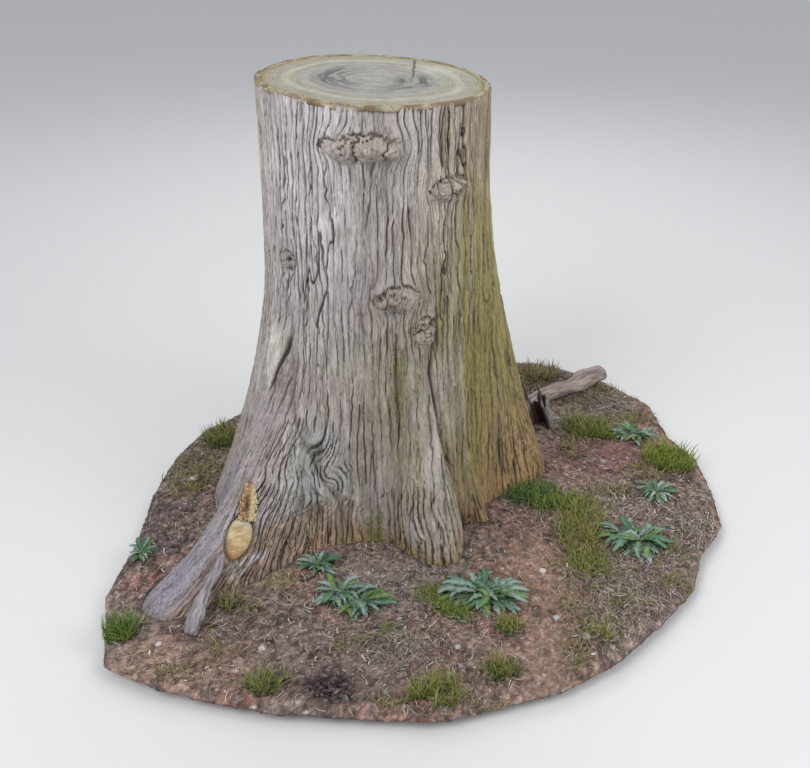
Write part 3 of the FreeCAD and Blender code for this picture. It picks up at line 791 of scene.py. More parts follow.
def make_mesh(name, points, quads=(), triangles=(), attributes=None, sharp=0):
    """A mesh object from arrays of points, four-cornered and three-cornered faces."""
    quads = np.asarray(quads, np.int64).reshape(-1, 4)
    triangles = np.asarray(triangles, np.int64).reshape(-1, 3)
    mesh = bpy.data.meshes.new(name)
    mesh.vertices.add(len(points))
    mesh.vertices.foreach_set("co", np.asarray(points, np.float32).ravel())
    corners = np.concatenate([quads.ravel(), triangles.ravel()])
    starts = np.concatenate([
        np.arange(len(quads)) * 4, len(quads) * 4 + np.arange(len(triangles)) * 3,
    ])
    mesh.loops.add(len(corners))
    mesh.loops.foreach_set("vertex_index", corners.astype(np.int32))
    mesh.polygons.add(len(starts))
    mesh.polygons.foreach_set("loop_start", starts.astype(np.int32))
    mesh.update(calc_edges=True)
    mesh.validate()
    for key, values in (attributes or {}).items():
        kind = "FLOAT_VECTOR" if key == "grain" else "FLOAT_COLOR"
        values = np.asarray(values, np.float32)
        if kind == "FLOAT_COLOR":
            values = np.concatenate([values, np.ones((len(values), 1), np.float32)], 1)
        layer = mesh.attributes.new(key, kind, "POINT")
        layer.data.foreach_set("vector" if key == "grain" else "color", values.ravel())
    mesh.polygons.foreach_set("use_smooth", np.ones(len(mesh.polygons), bool))
    if sharp:
        mesh.set_sharp_from_angle(angle=math.radians(sharp))
    item = bpy.data.objects.new(f"{name}_visual", mesh)
    bpy.context.scene.collection.objects.link(item)
    return item


def grid_faces(rows, columns, offset=0, wrap=False):
    """Quads of a grid of points stored row by row, wound outwards for rows that climb."""
    last = columns if wrap else columns - 1
    row, column = np.meshgrid(np.arange(rows - 1), np.arange(last), indexing="ij")
    a = offset + row * columns + column
    b = offset + row * columns + (column + 1) % columns
    return np.stack([a, b, b + columns, a + columns], -1).reshape(-1, 4)


def zipper(long_side, short_side):
    """Triangles between a side with many points and one with few, both in the same direction."""
    faces = []
    step = (len(long_side) - 1) // (len(short_side) - 1)
    for k in range(len(short_side) - 1):
        for i in range(k * step, (k + 1) * step):
            faces.append((short_side[k], long_side[i], long_side[i + 1]))
        faces.append((short_side[k], long_side[(k + 1) * step], short_side[k + 1]))
    return faces


def joined(*grids):
    """Grids of points or colours as one list."""
    return np.concatenate([grid.reshape(-1, 3) for grid in grids])


INNER_ROWS = 5
SHARP_BARK = 58              # degrees between faces above which an edge stays sharp


def bark_slab(name, turns, low, high, rows):
    """A closed slab of bark: its outside follows the relief, and its inside is the wood's wall."""
    share = np.linspace(0, 1, rows)[:, None]
    level = low + (high - low) * share
    points, _, colour, grain = bark(np.broadcast_to(turns, level.shape), level)
    columns = len(turns)
    wall_share = np.linspace(0, 1, INNER_ROWS)[:, None]
    wall_level = low + (high - low) * wall_share
    wall_radius = np.broadcast_to(core_radius(turns), wall_level.shape)
    wall = np.stack([wall_radius * np.cos(turns), wall_radius * np.sin(turns), wall_level], -1)
    wall_at = rows * columns
    quads = [grid_faces(rows, columns), grid_faces(INNER_ROWS, columns, wall_at)[:, ::-1]]
    top = (rows - 1) * columns + np.arange(columns)
    wall_top = wall_at + (INNER_ROWS - 1) * columns + np.arange(columns)
    bottom = np.arange(columns)
    wall_bottom = wall_at + np.arange(columns)
    quads.append(np.stack([top[:-1], top[1:], wall_top[1:], wall_top[:-1]], 1))
    quads.append(np.stack([bottom[1:], bottom[:-1], wall_bottom[:-1], wall_bottom[1:]], 1))
    first = zipper(np.arange(rows) * columns, wall_at + np.arange(INNER_ROWS) * columns)
    far = columns - 1
    last = zipper(
        np.arange(rows) * columns + far,
        wall_at + np.arange(INNER_ROWS) * columns + far,
    )
    triangles = np.concatenate([np.array(first), np.array(last)[:, ::-1]])
    wall_colour = np.broadcast_to(np.asarray(CUT_BARK), wall.shape)
    attributes = {"tone": joined(colour, wall_colour), "grain": joined(grain, wall)}
    quads = np.concatenate(quads)
    return make_mesh(name, joined(points, wall), quads, triangles, attributes, SHARP_BARK)


TRUNK_STEP = 0.0026
ROOT_STEP = 0.0042


def even_turns():
    """Turns round the stump, closer together where the roots stretch the girth out."""
    fine = np.linspace(0, TAU, 7201)
    stretch = np.zeros_like(fine)
    for height in (0.0, 0.08, 0.2):
        level = np.full_like(fine, GROUND + height)
        radius = sample(radius_grid, fine, level)
        slope = sample(turn_slope_grid, fine, level)
        stretch = np.maximum(stretch, np.hypot(radius, slope))
    density = np.maximum(TRUNK_RADIUS / TRUNK_STEP, stretch / ROOT_STEP)
    wrapped = np.concatenate([density[-61:-1], density, density[1:61]])
    density = np.convolve(wrapped, np.ones(121) / 121, "valid")
    count = np.concatenate([[0], np.cumsum((density[1:] + density[:-1]) / 2 * np.diff(fine))])
    return np.interp(np.arange(int(count[-1])), count, fine)


# ---------------------------------------------------------------- materials

def new_material(name, roughness):
    """A material with nodes, its Principled shader and a helper that adds a node."""
    material = bpy.data.materials.new(name)
    material.use_nodes = True
    tree = material.node_tree
    shader = tree.nodes["Principled BSDF"]
    shader.inputs["Roughness"].default_value = roughness
    shader.inputs["Specular IOR Level"].default_value = 0.25

    def add(kind, **inputs):
        node = tree.nodes.new(kind)
        for key, value in inputs.items():
            socket = node.inputs[key.replace("_", " ")]
            if isinstance(value, bpy.types.NodeSocket):
                tree.links.new(value, socket)
            else:
                socket.default_value = value
        return node

    return material, tree, shader, add


def toned(name, roughness, layers, bump=0.6, distance=0.003, space="grain"):
    """A material that takes its colour from the mesh and adds fine streaks and bump.

    Each layer is its scale along the axes of the grain, the range of the noise that it uses, the
    brightness at the two ends of that range and its share in the bump."""
    material, tree, shader, add = new_material(name, roughness)
    tone = add("ShaderNodeAttribute")
    tone.attribute_name = "tone"
    if space == "grain":
        place = add("ShaderNodeAttribute")
        place.attribute_name = "grain"
        where = place.outputs["Vector"]
    else:
        where = add("ShaderNodeTexCoord").outputs["Object"]
    colour = tone.outputs["Color"]
    height = None
    for scale, (low, high), (darkest, lightest), rise in layers:
        mapping = add("ShaderNodeMapping", Vector=where, Scale=scale)
        vector = mapping.outputs["Vector"]
        grain = add("ShaderNodeTexNoise", Vector=vector, Scale=1.0, Detail=3.0, Roughness=0.6)
        ends = {"From_Min": low, "From_Max": high, "To_Min": darkest, "To_Max": lightest}
        shade = add("ShaderNodeMapRange", Value=grain.outputs["Fac"], **ends)
        scaled = add("ShaderNodeVectorMath")
        scaled.operation = "SCALE"
        tree.links.new(colour, scaled.inputs[0])
        tree.links.new(shade.outputs["Result"], scaled.inputs["Scale"])
        colour = scaled.outputs["Vector"]
        total = add("ShaderNodeMath")
        total.operation = "MULTIPLY_ADD"
        tree.links.new(grain.outputs["Fac"], total.inputs[0])
        total.inputs[1].default_value = rise
        if height is None:
            total.inputs[2].default_value = 0.0
        else:
            tree.links.new(height, total.inputs[2])
        height = total.outputs[0]
    tree.links.new(colour, shader.inputs["Base Color"])
    relief = add("ShaderNodeBump", Height=height, Strength=bump, Distance=distance)
    tree.links.new(relief.outputs["Normal"], shader.inputs["Normal"])
    return material


def dress(item, material, slot, *nodes):
    """Give a piece its material, put it on the body and hide the CAD nodes that it stands for."""
    item.data.materials.clear()
    item.data.materials.append(material)
    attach(item, "root")
    if nodes:
        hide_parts(*nodes)
    return item


BARK_LAYERS = (
    ((150.0, 9.0, 30.0), (0.3, 0.7), (0.84, 1.14), 0.8),
    ((300.0, 34.0, 60.0), (0.36, 0.46), (0.62, 1.06), 1.2),
    ((520.0, 60.0, 60.0), (0.3, 0.7), (0.78, 1.20), 1.0),
    ((1300.0, 110.0, 200.0), (0.3, 0.7), (0.86, 1.12), 0.5),
)
bark_material = toned("bark", 0.92, BARK_LAYERS, bump=0.75, distance=0.003)


# ---------------------------------------------------------------- trunk and buttress roots

TRUNK_ROWS = 361
PANEL_ENDS = (-175, -124, -51, 21, 93, 185)          # degrees
ROOT_ROW = 0.0052            # the height of a row of a root's mesh
LEAST_ROOT = 0.006           # the least height of a root's slab, at its two sides
RAGGED_RIM = 0.0012
PANELS = ("bark_left", "bark_front", "bark_right", "bark_back_right", "bark_back_left")
PANEL_GROWTHS = {
    "bark_left": ("branch_knot_left", "bark_flap"),
    "bark_front": (
        "branch_knot_upper", "branch_knot_right", "branch_knot_middle", "branch_knot_lower", "left_burl",
    ),
}


def columns_between(turns, start, end):
    """The turns from one angle to another in degrees, both ends included."""
    start, end = math.radians(start), math.radians(end)
    inside = []
    for shift in (-TAU, 0.0, TAU):
        shifted = turns + shift
        inside.append(shifted[(shifted > start + 1e-4) & (shifted < end - 1e-4)])
    return np.concatenate([[start], np.sort(np.concatenate(inside)), [end]])


def build_bark():
    """Five panels of trunk bark and the seven buttress roots."""
    turns = even_turns()
    for panel, start, end in zip(PANELS, PANEL_ENDS[:-1], PANEL_ENDS[1:]):
        columns = columns_between(turns, start, end)
        low = np.maximum(root_top(columns), GROUND - BURIED)
        rim = core_radius(columns) + BARK_THICKNESS
        high = cut_level(rim * np.cos(columns), rim * np.sin(columns))
        high += RAGGED_RIM * round_noise(columns, 300, 81)
        item = bark_slab(panel, columns, low, high, TRUNK_ROWS)
        dress(item, bark_material, "bark", "trunk_bark", *PANEL_GROWTHS.get(panel, ()))
    for root in ROOTS:
        build_root(root, turns)


def build_root(root, turns):
    """One buttress root, between the turns where the CAD has it."""
    tops = np.array([column[column > 0][-1] if (column > 0).any() else 0 for column in root_grid.T])
    members = np.flatnonzero(tops == ROOTS.index(root) + 1)
    low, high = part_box(root)
    middle = round(math.degrees(math.atan2(low.y + high.y, low.x + high.x)))
    offsets = (members - middle + CAST_TURNS // 2) % CAST_TURNS - CAST_TURNS // 2
    columns = columns_between(turns, middle + offsets.min() - 0.5, middle + offsets.max() + 0.5)
    base = np.full_like(columns, GROUND - BURIED)
    top = np.maximum(root_top(columns), base + LEAST_ROOT)
    tall = top.max() - base[0]
    rows = 1 + (INNER_ROWS - 1) * max(4, round(tall / ROOT_ROW / (INNER_ROWS - 1)))
    item = bark_slab(root, columns, base, top, rows)
    dress(item, bark_material, "root_bark", root)


build_bark()


# ---------------------------------------------------------------- closed shapes made of rings

def lathe(name, rings, material, attributes, loop=False):
    """A closed piece from rings of points. It loops back to the first ring or ends in two fans."""
    count, columns = rings.shape[:2]
    points = rings.reshape(-1, 3)
    quads = [grid_faces(count, columns, 0, wrap=True)]
    triangles = []
    values = {key: value.reshape(-1, 3) for key, value in attributes.items()}
    around = np.arange(columns)
    if loop:
        last = (count - 1) * columns + around
        quads.append(np.stack([last, np.roll(last, -1), np.roll(around, -1), around], 1))
    else:
        for ring, order in ((0, -1), (count - 1, 1)):
            members = ring * columns + around
            centre = np.full(columns, len(points))
            fan = np.stack([members, np.roll(members, -1), centre], 1)[:, ::order]
            triangles.append(fan)
            points = np.concatenate([points, rings[ring].mean(0)[None]])
            for key, value in attributes.items():
                values[key] = np.concatenate([values[key], value[ring].mean(0)[None]])
        triangles = np.concatenate(triangles)
    item = make_mesh(name, points, np.concatenate(quads), triangles, values)
    item.data.materials.append(material)
    return item


def bundle(name, paths, across, breadth, depth, colour, sides=3):
    """Many closed stems or blades at once: paths (n, k, 3), flat sides along across (n, 3)."""
    count, length = paths.shape[:2]
    along = np.gradient(paths, axis=1)
    along /= np.linalg.norm(along, axis=2)[..., None] + 1e-12
    across = np.broadcast_to(across[:, None], along.shape)
    across = across - along * (across * along).sum(2)[..., None]
    across = across / (np.linalg.norm(across, axis=2)[..., None] + 1e-12)
    other = np.cross(along, across)
    angle = np.arange(sides) * TAU / sides + (0.5 * math.pi if sides == 3 else 0.0)
    ring = (
        paths[:, :, None]
        + across[:, :, None] * (np.cos(angle)[None, None] * breadth[..., None])[..., None]
        + other[:, :, None] * (np.sin(angle)[None, None] * depth[..., None])[..., None]
    )
    start = (np.arange(count) * length * sides)[:, None, None]
    row = np.arange(length - 1)[None, :, None] * sides
    column = np.arange(sides)[None, None]
    beside_it = (column + 1) % sides
    quads = np.stack([
        start + row + column, start + row + beside_it,
        start + row + sides + beside_it, start + row + sides + column,
    ], -1).reshape(-1, 4)
    first = (np.arange(count) * length * sides)[:, None] + np.arange(sides)[::-1]
    last = (np.arange(count) * length * sides)[:, None] + (length - 1) * sides + np.arange(sides)
    caps = np.concatenate([first, last])
    colour = np.broadcast_to(colour[:, :, None], ring.shape)
    points = ring.reshape(-1, 3)
    attributes = {"tone": colour.reshape(-1, 3), "grain": points}
    if sides == 3:
        return make_mesh(name, points, quads, caps, attributes)
    return make_mesh(name, points, np.concatenate([quads, caps]), (), attributes)


def blobs(name, centres, sizes, colour, rough=0.25, detail=1):
    """Many small lumps at once, each a turned, stretched and dented ball."""
    ball = bmesh.new()
    bmesh.ops.create_icosphere(ball, subdivisions=detail, radius=1.0)
    ball.verts.ensure_lookup_table()
    shape = np.array([vertex.co[:] for vertex in ball.verts])
    faces = np.array([[vertex.index for vertex in face.verts] for face in ball.faces])
    ball.free()
    count = len(centres)
    dents = 1 + rough * (random.random((count, len(shape))) - 0.5)
    turn = random.random(count) * TAU
    points = shape[None] * dents[..., None] * sizes[:, None]
    cos, sin = np.cos(turn)[:, None], np.sin(turn)[:, None]
    x = points[..., 0] * cos - points[..., 1] * sin
    y = points[..., 0] * sin + points[..., 1] * cos
    points = np.stack([x, y, points[..., 2]], -1) + centres[:, None]
    faces = (np.arange(count) * len(shape))[:, None, None] + faces[None]
    tone = np.broadcast_to(colour[:, None], points.shape)
    attributes = {"tone": joined(tone), "grain": joined(points)}
    return make_mesh(name, joined(points), (), faces.reshape(-1, 3), attributes)


def shades(colours, count, spread=0.25):
    """A random pick from a few colours for each of many items, lighter or darker by a spread."""
    picks = np.asarray(colours)[random.integers(0, len(colours), count)]
    return picks * (1 + spread * (random.random(count) - 0.5) * 2)[:, None]


def islands(node):
    """The separate solids of a CAD node, each as an array of its points."""
    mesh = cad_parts[node].data
    points = np.array([vertex.co[:] for vertex in mesh.vertices])
    keys = {}
    owner = [keys.setdefault(tuple(np.round(point, 6)), len(keys)) for point in points]
    group = list(range(len(keys)))

    def top(index):
        while group[index] != index:
            group[index] = group[group[index]]
            index = group[index]
        return index

    for edge in mesh.edges:
        group[top(owner[edge.vertices[0]])] = top(owner[edge.vertices[1]])
    groups = np.array([top(index) for index in owner])
    return [points[groups == index] for index in np.unique(groups)]


# ---------------------------------------------------------------- sawn top

SAPWOOD = (0.345, 0.332, 0.265)
SAPWOOD_WARM = (0.335, 0.30, 0.215)
SAPWOOD_BRIGHT = (0.47, 0.455, 0.41)
SAPWOOD_EDGE = (0.24, 0.19, 0.06)
HEARTWOOD = (0.30, 0.29, 0.262)
HEART_STAIN = (0.105, 0.105, 0.105)
WOOD_CHECK = (0.22, 0.18, 0.12)
TOP_COLUMNS = 640
TOP_INSET = 0.0012           # how far the wood lies below the bark's cut
# The drying crack: its width at three places from front to back.
CRACK_PLACES = (-0.04, 0.12, 0.30)
CRACK_WIDTHS = (0.0005, 0.0032, 0.0042)


def round_turns(columns):
    """Evenly spaced turns, once round."""
    return np.linspace(0, TAU, columns, endpoint=False)


def flat_ring(turn, radius, height):
    """One level ring of points as a row for lathe()."""
    return np.stack([radius * np.cos(turn), radius * np.sin(turn), np.full_like(turn, height)], -1)[None]


HEART_HOLE = 0.0006


def no_hole(turn):
    """The tiny radius at which the top of the heartwood closes."""
    return turn * 0 + HEART_HOLE


def heart_radius(turn):
    """Where the stained heartwood ends, for each turn."""
    low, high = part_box("heartwood")
    return (high.x - low.x) / 2 * (1 + 0.035 * round_noise(turn, 9, 91))


def top_height(x, y):
    """Height of the sawn top: the cut plane with faint saw marks and ridges."""
    marks = 0.0007 * noise(x * 9 + y * 2, y * 160, 92) + 0.0004 * noise(x * 300, y * 300, 93)
    return cut_level(x, y) - TOP_INSET + marks


def top_crack(x, y):
    """The drying crack that runs back from near the heart, to the right of the middle."""
    wander = 0.004 * line_noise(y * 40, 94)
    middle = 0.118 + 0.05 * (y - 0.1)
    return bell(x - middle + wander, np.interp(y, CRACK_PLACES, CRACK_WIDTHS)) * smooth(-0.05, 0.02, y)


def top_colour(x, y, ring):
    """Cream sapwood and a grey-stained heart, with growth rings through both."""
    turn = np.arctan2(y, x)
    colour = np.tile(SAPWOOD, (len(x), 1))
    patch = layered(x * 9, y * 9, 95, 3)
    colour = mix(colour, SAPWOOD_WARM, smooth(0.0, 0.7, patch + 0.9 * (ring - 0.86) * 4))
    colour = mix(colour, HEARTWOOD, smooth(0.74, 0.62, ring + 0.05 * patch))
    stain = smooth(0.60, 0.50, ring + 0.16 * patch) * smooth(0.12, 0.26, ring + 0.16 * patch)
    sides = 0.10 + 0.90 * np.abs(np.cos(turn + 0.1)) ** 1.2
    arcs = smooth(-0.35, 0.35, noise(ring * 30, turn * 2.3, 100) + 1.1 * patch)
    colour = mix(colour, HEART_STAIN, 0.95 * stain * sides * (0.25 + 0.75 * arcs))
    rings = 0.5 + 0.5 * np.sin(ring * 190 + 5 * patch)
    broad = line_noise(ring * 26, 96)
    colour = colour * (1 - 0.24 * rings * smooth(-0.5, 0.5, broad + 0.6 * patch) - 0.07 * broad)[:, None]
    colour = colour * (1 + 0.16 * layered(x * 55, y * 75, 101, 3))[:, None]
    checks = bell(noise(turn * 26, ring * 2.2, 97), 0.055)
    checks = checks * smooth(0.2, 0.5, noise(turn * 7, ring * 6, 98))
    colour = mix(colour, WOOD_CHECK, 0.5 * checks * smooth(0.1, 0.3, ring))
    bright = bell(x - 0.19, 0.07) * bell(y - 0.17, 0.07)
    colour = mix(colour, SAPWOOD_BRIGHT, 0.7 * bright)
    edge = smooth(0.965, 0.992, ring + 0.006 * line_noise(turn * 30, 99))
    colour = mix(colour, SAPWOOD_EDGE, 0.85 * edge)
    # Painted shade in the drying crack.
    return mix(colour, CREVICE_SHADE, 0.92 * top_crack(x, y))


def top_piece(name, inner, outer, rows):
    """A ring or a disc of wood with its sawn top; the rest of it is a plain wall."""
    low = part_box(name)[0].z
    turn = round_turns(TOP_COLUMNS)
    inner_at, outer_at = inner(turn), outer(turn)
    share = np.linspace(1, 0, rows)[:, None]
    radius = inner_at + (outer_at - inner_at) * share
    x, y = radius * np.cos(turn), radius * np.sin(turn)
    top = np.stack([x, y, top_height(x, y) - 0.003 * top_crack(x, y)], -1)
    rings = np.concatenate([flat_ring(turn, inner_at, low), flat_ring(turn, outer_at, low), top])
    x, y = rings[..., 0].ravel(), rings[..., 1].ravel()
    ring = np.hypot(x, y) / core_radius(np.arctan2(y, x))
    tone = top_colour(x, y, ring).reshape(rings.shape)
    place = np.hypot(x, y)
    grain = np.stack([ring * TRUNK_RADIUS, x / (place + 1e-6) * 0.12, y / (place + 1e-6) * 0.12], 1)
    attributes = {"tone": tone, "grain": grain.reshape(rings.shape)}
    item = lathe(name, rings, wood_material, attributes, loop=inner is not no_hole)
    dress(item, wood_material, name, name)


# The cut edge of the bark from the inside out: share of the bark's thickness, and drop.
RIM_PROFILE = (
    (-0.02, 0.012),
    (-0.02, -0.0014),
    (0.35, -0.0026),
    (0.75, -0.0016),
    (0.95, 0.002),
    (0.9, 0.012),
)


def rim_piece():
    """The cut edge of the bark, with flakes missing from it."""
    turn = round_turns(TOP_COLUMNS)
    rows = []
    colours = []
    chips = round_noise(turn, 40, 85)
    for share, drop in RIM_PROFILE:
        wide = BARK_THICKNESS * (1 + 0.10 * round_noise(turn, 60, 86, 5 * share))
        radius = core_radius(turn) + wide * share
        x, y = radius * np.cos(turn), radius * np.sin(turn)
        fall = drop + 0.003 * smooth(0.1, 0.8, chips) * (share > 0.2)
        rows.append(np.stack([x, y, cut_level(x, y) - fall], -1))
        flake = round_noise(turn, 150, 87, 9 * share)
        tone = np.tile(RIM_BARK, (TOP_COLUMNS, 1)) * (1 + 0.25 * flake)[:, None]
        tone = mix(tone, RIM_PALE, 0.8 * smooth(-0.4, 0.3, chips + flake * 0.4))
        colours.append(mix(tone, RIM_DARK, 0.6 * smooth(0.45, 0.8, -chips)))
    rings = np.array(rows)[::-1]
    attributes = {"tone": np.array(colours)[::-1], "grain": rings}
    item = lathe("bark_rim", rings, rim_material, attributes, loop=True)
    dress(item, rim_material, "bark", "trunk_bark")


WOOD_LAYERS = (
    ((420.0, 34.0, 34.0), (0.3, 0.7), (0.72, 1.20), 1.0),
    ((1500.0, 90.0, 90.0), (0.3, 0.7), (0.82, 1.14), 0.4),
)
RIM_LAYERS = (((160.0, 160.0, 160.0), (0.3, 0.7), (0.65, 1.25), 1.0),)
wood_material = toned("sawn_wood", 0.8, WOOD_LAYERS, bump=0.35, distance=0.0012)
rim_material = toned("bark_rim", 0.9, RIM_LAYERS, bump=0.7, distance=0.002)
top_piece("heartwood", no_hole, heart_radius, 120)
top_piece("sapwood", heart_radius, core_radius, 90)
rim_piece()


# ---------------------------------------------------------------- soil

EDGE_TURNS = 720
RIM_LEVEL = GROUND * 0.9     # a level at which the rim of the patch is upright


def patch_edge():
    """Distance from the axis to the rim of the patch of ground, for each of many turns."""
    points, faces = node_triangles("soil_patch", 0)
    tree = BVHTree.FromPolygons(points.tolist(), faces.tolist())
    edge = []
    for turn in round_turns(EDGE_TURNS):
        out = Vector((math.cos(turn), math.sin(turn), 0))
        start = out * CAST_FROM + Vector((0, 0, RIM_LEVEL))
        distance = tree.ray_cast(start, -out, CAST_FROM)[3]
        edge.append(CAST_FROM - distance)
    return np.array(edge)


edge_grid = patch_edge()


def edge_radius(turn):
    """Distance from the axis to the rim of the patch at any turns."""
    x = (turn / TAU) % 1.0 * len(edge_grid)
    return np.interp(x, np.arange(len(edge_grid) + 1), np.append(edge_grid, edge_grid[0]))


def foot_radius(turn):
    """Distance from the axis to the stump where it meets the ground."""
    return sample(radius_grid, turn, np.full_like(turn, GROUND))


def soil_height(x, y):
    """Height of the soil: a gentle swell up to the stump, lumps, and a worn edge."""
    turn = np.arctan2(y, x)
    radius = np.hypot(x, y)
    gap = radius - foot_radius(turn)
    height = GROUND + 0.011 * np.exp(-np.maximum(gap, 0) / 0.05)
    height = height + 0.009 * layered(x * 6, y * 6, 701, 3)
    height = height + 0.0042 * layered(x * 32, y * 32, 702, 3)
    lumps = layered(x * 95, y * 95, 703, 2)
    height = height + 0.0030 * lumps * np.abs(lumps) + 0.0012 * noise(x * 210, y * 210, 704)
    return height - 0.020 * smooth(0.05, 0.0, edge_radius(turn) - radius)


# Places where the ground has its own colour: x, y, half sizes, colour, share.
GROUND_PATCHES = (
    (0.86, 0.10, 0.24, 0.15, (0.182, 0.100, 0.088), 0.95),
    (0.50, -0.36, 0.16, 0.16, (0.165, 0.105, 0.088), 0.8),
    (0.52, -0.66, 0.13, 0.34, (0.245, 0.158, 0.108), 0.9),
    (0.48, -1.00, 0.22, 0.13, (0.235, 0.155, 0.112), 0.8),
    (-0.56, -0.98, 0.22, 0.13, (0.262, 0.178, 0.128), 0.9),
    (-0.64, 0.12, 0.26, 0.30, (0.115, 0.105, 0.062), 0.75),
    (-0.80, -0.35, 0.16, 0.26, (0.115, 0.086, 0.076), 0.85),
    (-0.46, -0.80, 0.14, 0.10, (0.125, 0.092, 0.082), 0.7),
    (-0.12, -0.98, 0.22, 0.12, (0.165, 0.125, 0.11), 0.7),
    (0.05, -0.66, 0.26, 0.14, (0.23, 0.195, 0.17), 0.8),
    (-0.32, -0.60, 0.10, 0.06, (0.22, 0.185, 0.075), 0.6),
    (0.95, -0.52, 0.28, 0.34, (0.235, 0.170, 0.160), 0.8),
    (0.80, 0.48, 0.30, 0.20, (0.165, 0.15, 0.085), 0.7),
)


def bare_ground(x, y):
    """Where the earth is bare and smooth: behind the grass on the right, and beside the front root."""
    back = bell(x - 0.86, 0.22) * bell(y - 0.10, 0.16)
    front = bell(x - 0.52, 0.13) * smooth(-0.25, -0.45, y)
    return back + front


def soil_colour(x, y):
    """Red-brown earth with darker patches and the ground's own patches, and painted shade round the foot
    of the stump.
    """
    blotch = layered(x * 8, y * 8, 711, 4)
    fine = layered(x * 70, y * 70, 712, 3)
    colour = mix(np.tile(SOIL_BROWN, (len(x), 1)), SOIL_RED, smooth(-0.2, 0.6, blotch))
    for at_x, at_y, half_x, half_y, tint, share in GROUND_PATCHES:
        reach = np.hypot((x - at_x) / half_x, (y - at_y) / half_y) + 0.30 * blotch + 0.14 * fine
        colour = mix(colour, tint, share * smooth(1.15, 0.65, reach))
    colour = mix(colour, SOIL_DARK, 0.75 * smooth(0.15, 0.6, layered(x * 24, y * 24, 713, 3)))
    grit = hash01(np.floor(x * 430).astype(np.int64), np.floor(y * 430).astype(np.int64), 714)
    colour = mix(colour, PALE_GRIT, 0.6 * (grit > 0.955))
    colour = mix(colour, SOIL_DARK, 0.6 * (grit < 0.05))
    colour = colour * (1 + (1.10 - 0.55 * bare_ground(x, y)) * fine)[:, None] * SOIL_BALANCE
    # Painted shade on the earth round the foot of the stump.
    gap = np.hypot(x, y) - foot_radius(np.arctan2(y, x))
    return np.clip(mix(colour, SOIL_SHADE, 0.55 * np.exp(-np.maximum(gap, 0) / 0.016)), 0.01, 1)


SOIL_COLUMNS = 860
SOIL_ROWS = 104
POCKET_DEPTH = 0.045


def build_soil():
    """The patch of ground as one closed piece with a pocket for the stump."""
    turn = round_turns(SOIL_COLUMNS)
    edge = edge_radius(turn) * (1 + 0.004 * layered(turn * 60, turn * 0, 721, 3))
    foot = foot_radius(turn) - 0.006
    share = np.linspace(1, 0, SOIL_ROWS)[:, None] ** 1.15
    radius = foot + (edge - 0.003 - foot) * share
    x, y = radius * np.cos(turn), radius * np.sin(turn)
    top = np.stack([x, y, soil_height(x, y)], -1)
    pocket = GROUND - POCKET_DEPTH
    crumble = 0.006 * line_noise(turn * 90, 722)
    outline = (
        (foot * 0.02, 0.0),
        (foot, 0.0),
        (edge - 0.112, 0.0),
        (edge - 0.072 + crumble, GROUND * 0.3),
        (edge - 0.026 - crumble, GROUND * 0.55),
        (foot, pocket),
        (foot * 0.02, pocket),
    )
    flat = [flat_ring(turn, distance, height) for distance, height in outline]
    rings = np.concatenate(flat[:5] + [top] + flat[5:])
    x, y = rings[..., 0].ravel(), rings[..., 1].ravel()
    tone = soil_colour(x, y).reshape(rings.shape)
    item = lathe("soil_patch", rings, soil_material, {"tone": tone, "grain": rings})
    dress(item, soil_material, "soil", "soil_patch")


SOIL_LAYERS = (
    ((90.0, 90.0, 90.0), (0.3, 0.7), (0.58, 1.34), 1.0),
    ((380.0, 380.0, 380.0), (0.3, 0.7), (0.55, 1.45), 0.6),
)
soil_material = toned("soil", 0.97, SOIL_LAYERS, bump=0.9, distance=0.005)
build_soil()


def on_patch(count, margin=0.02):
    """Random places on the ground between the stump and the rim."""
    x = random.uniform(-0.9, 1.3, count * 3)
    y = random.uniform(-1.2, 0.95, count * 3)
    turn = np.arctan2(y, x)
    radius = np.hypot(x, y)
    free = (radius > foot_radius(turn) + 0.004) & (radius < edge_radius(turn) - margin)
    return x[free][:count], y[free][:count]


def at_node(node, count, spread=0.5):
    """Random places on the ground inside a CAD stand-in's footprint, thinning out at its edge."""
    low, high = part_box(node)
    angle = random.random(count) * TAU
    reach = random.random(count) ** spread
    x = (low.x + high.x) / 2 + (high.x - low.x) / 2 * reach * np.cos(angle)
    y = (low.y + high.y) / 2 + (high.y - low.y) / 2 * reach * np.sin(angle)
    turn = np.arctan2(y, x)
    limit = np.minimum(np.hypot(x, y), edge_radius(turn) - 0.012)
    limit = np.maximum(limit, foot_radius(turn) + 0.008)
    return limit * np.cos(turn), limit * np.sin(turn)


def kept_on_patch(x, y):
    """Pull places that lie past the rim of the patch back onto it."""
    turn = np.arctan2(y, x)
    radius = np.minimum(np.hypot(x, y), edge_radius(turn) - 0.004)
    return radius * np.cos(turn), radius * np.sin(turn)


def build_clods():
    """Crumbs of earth and grit all over the patch, and pale stones."""
    x, y = on_patch(4200)
    size = 0.0016 + 0.0052 * random.random(len(x)) ** 4
    z = soil_height(x, y) + size * 0.25
    colour = soil_colour(x, y) * (0.75 + 0.7 * random.random(len(x)))[:, None]
    pale = random.random(len(x)) > 0.955
    colour[pale] = shades(((0.46, 0.42, 0.38), (0.36, 0.30, 0.26)), pale.sum())
    sizes = size[:, None] * random.uniform((0.8, 0.7, 0.5), (1.4, 1.1, 0.9), (len(x), 3))
    item = blobs("soil_clods", np.stack([x, y, z], 1), sizes, np.clip(colour, 0.01, 1), 0.7)
    dress(item, soil_material, "soil", "soil_patch")
    stones = islands("pebbles")
    centres = np.array([stone.mean(0) for stone in stones])
    halves = np.array([(stone.max(0) - stone.min(0)) / 2 for stone in stones])
    centres[:, 2] = soil_height(centres[:, 0], centres[:, 1]) + halves[:, 2] * 0.35
    tone = shades(((0.44, 0.41, 0.385), (0.36, 0.31, 0.29), (0.50, 0.46, 0.42)), len(centres))
    item = blobs("pebbles", centres, halves * 1.05, tone, 0.35, 2)
    dress(item, stone_material, "pebble", "pebbles")


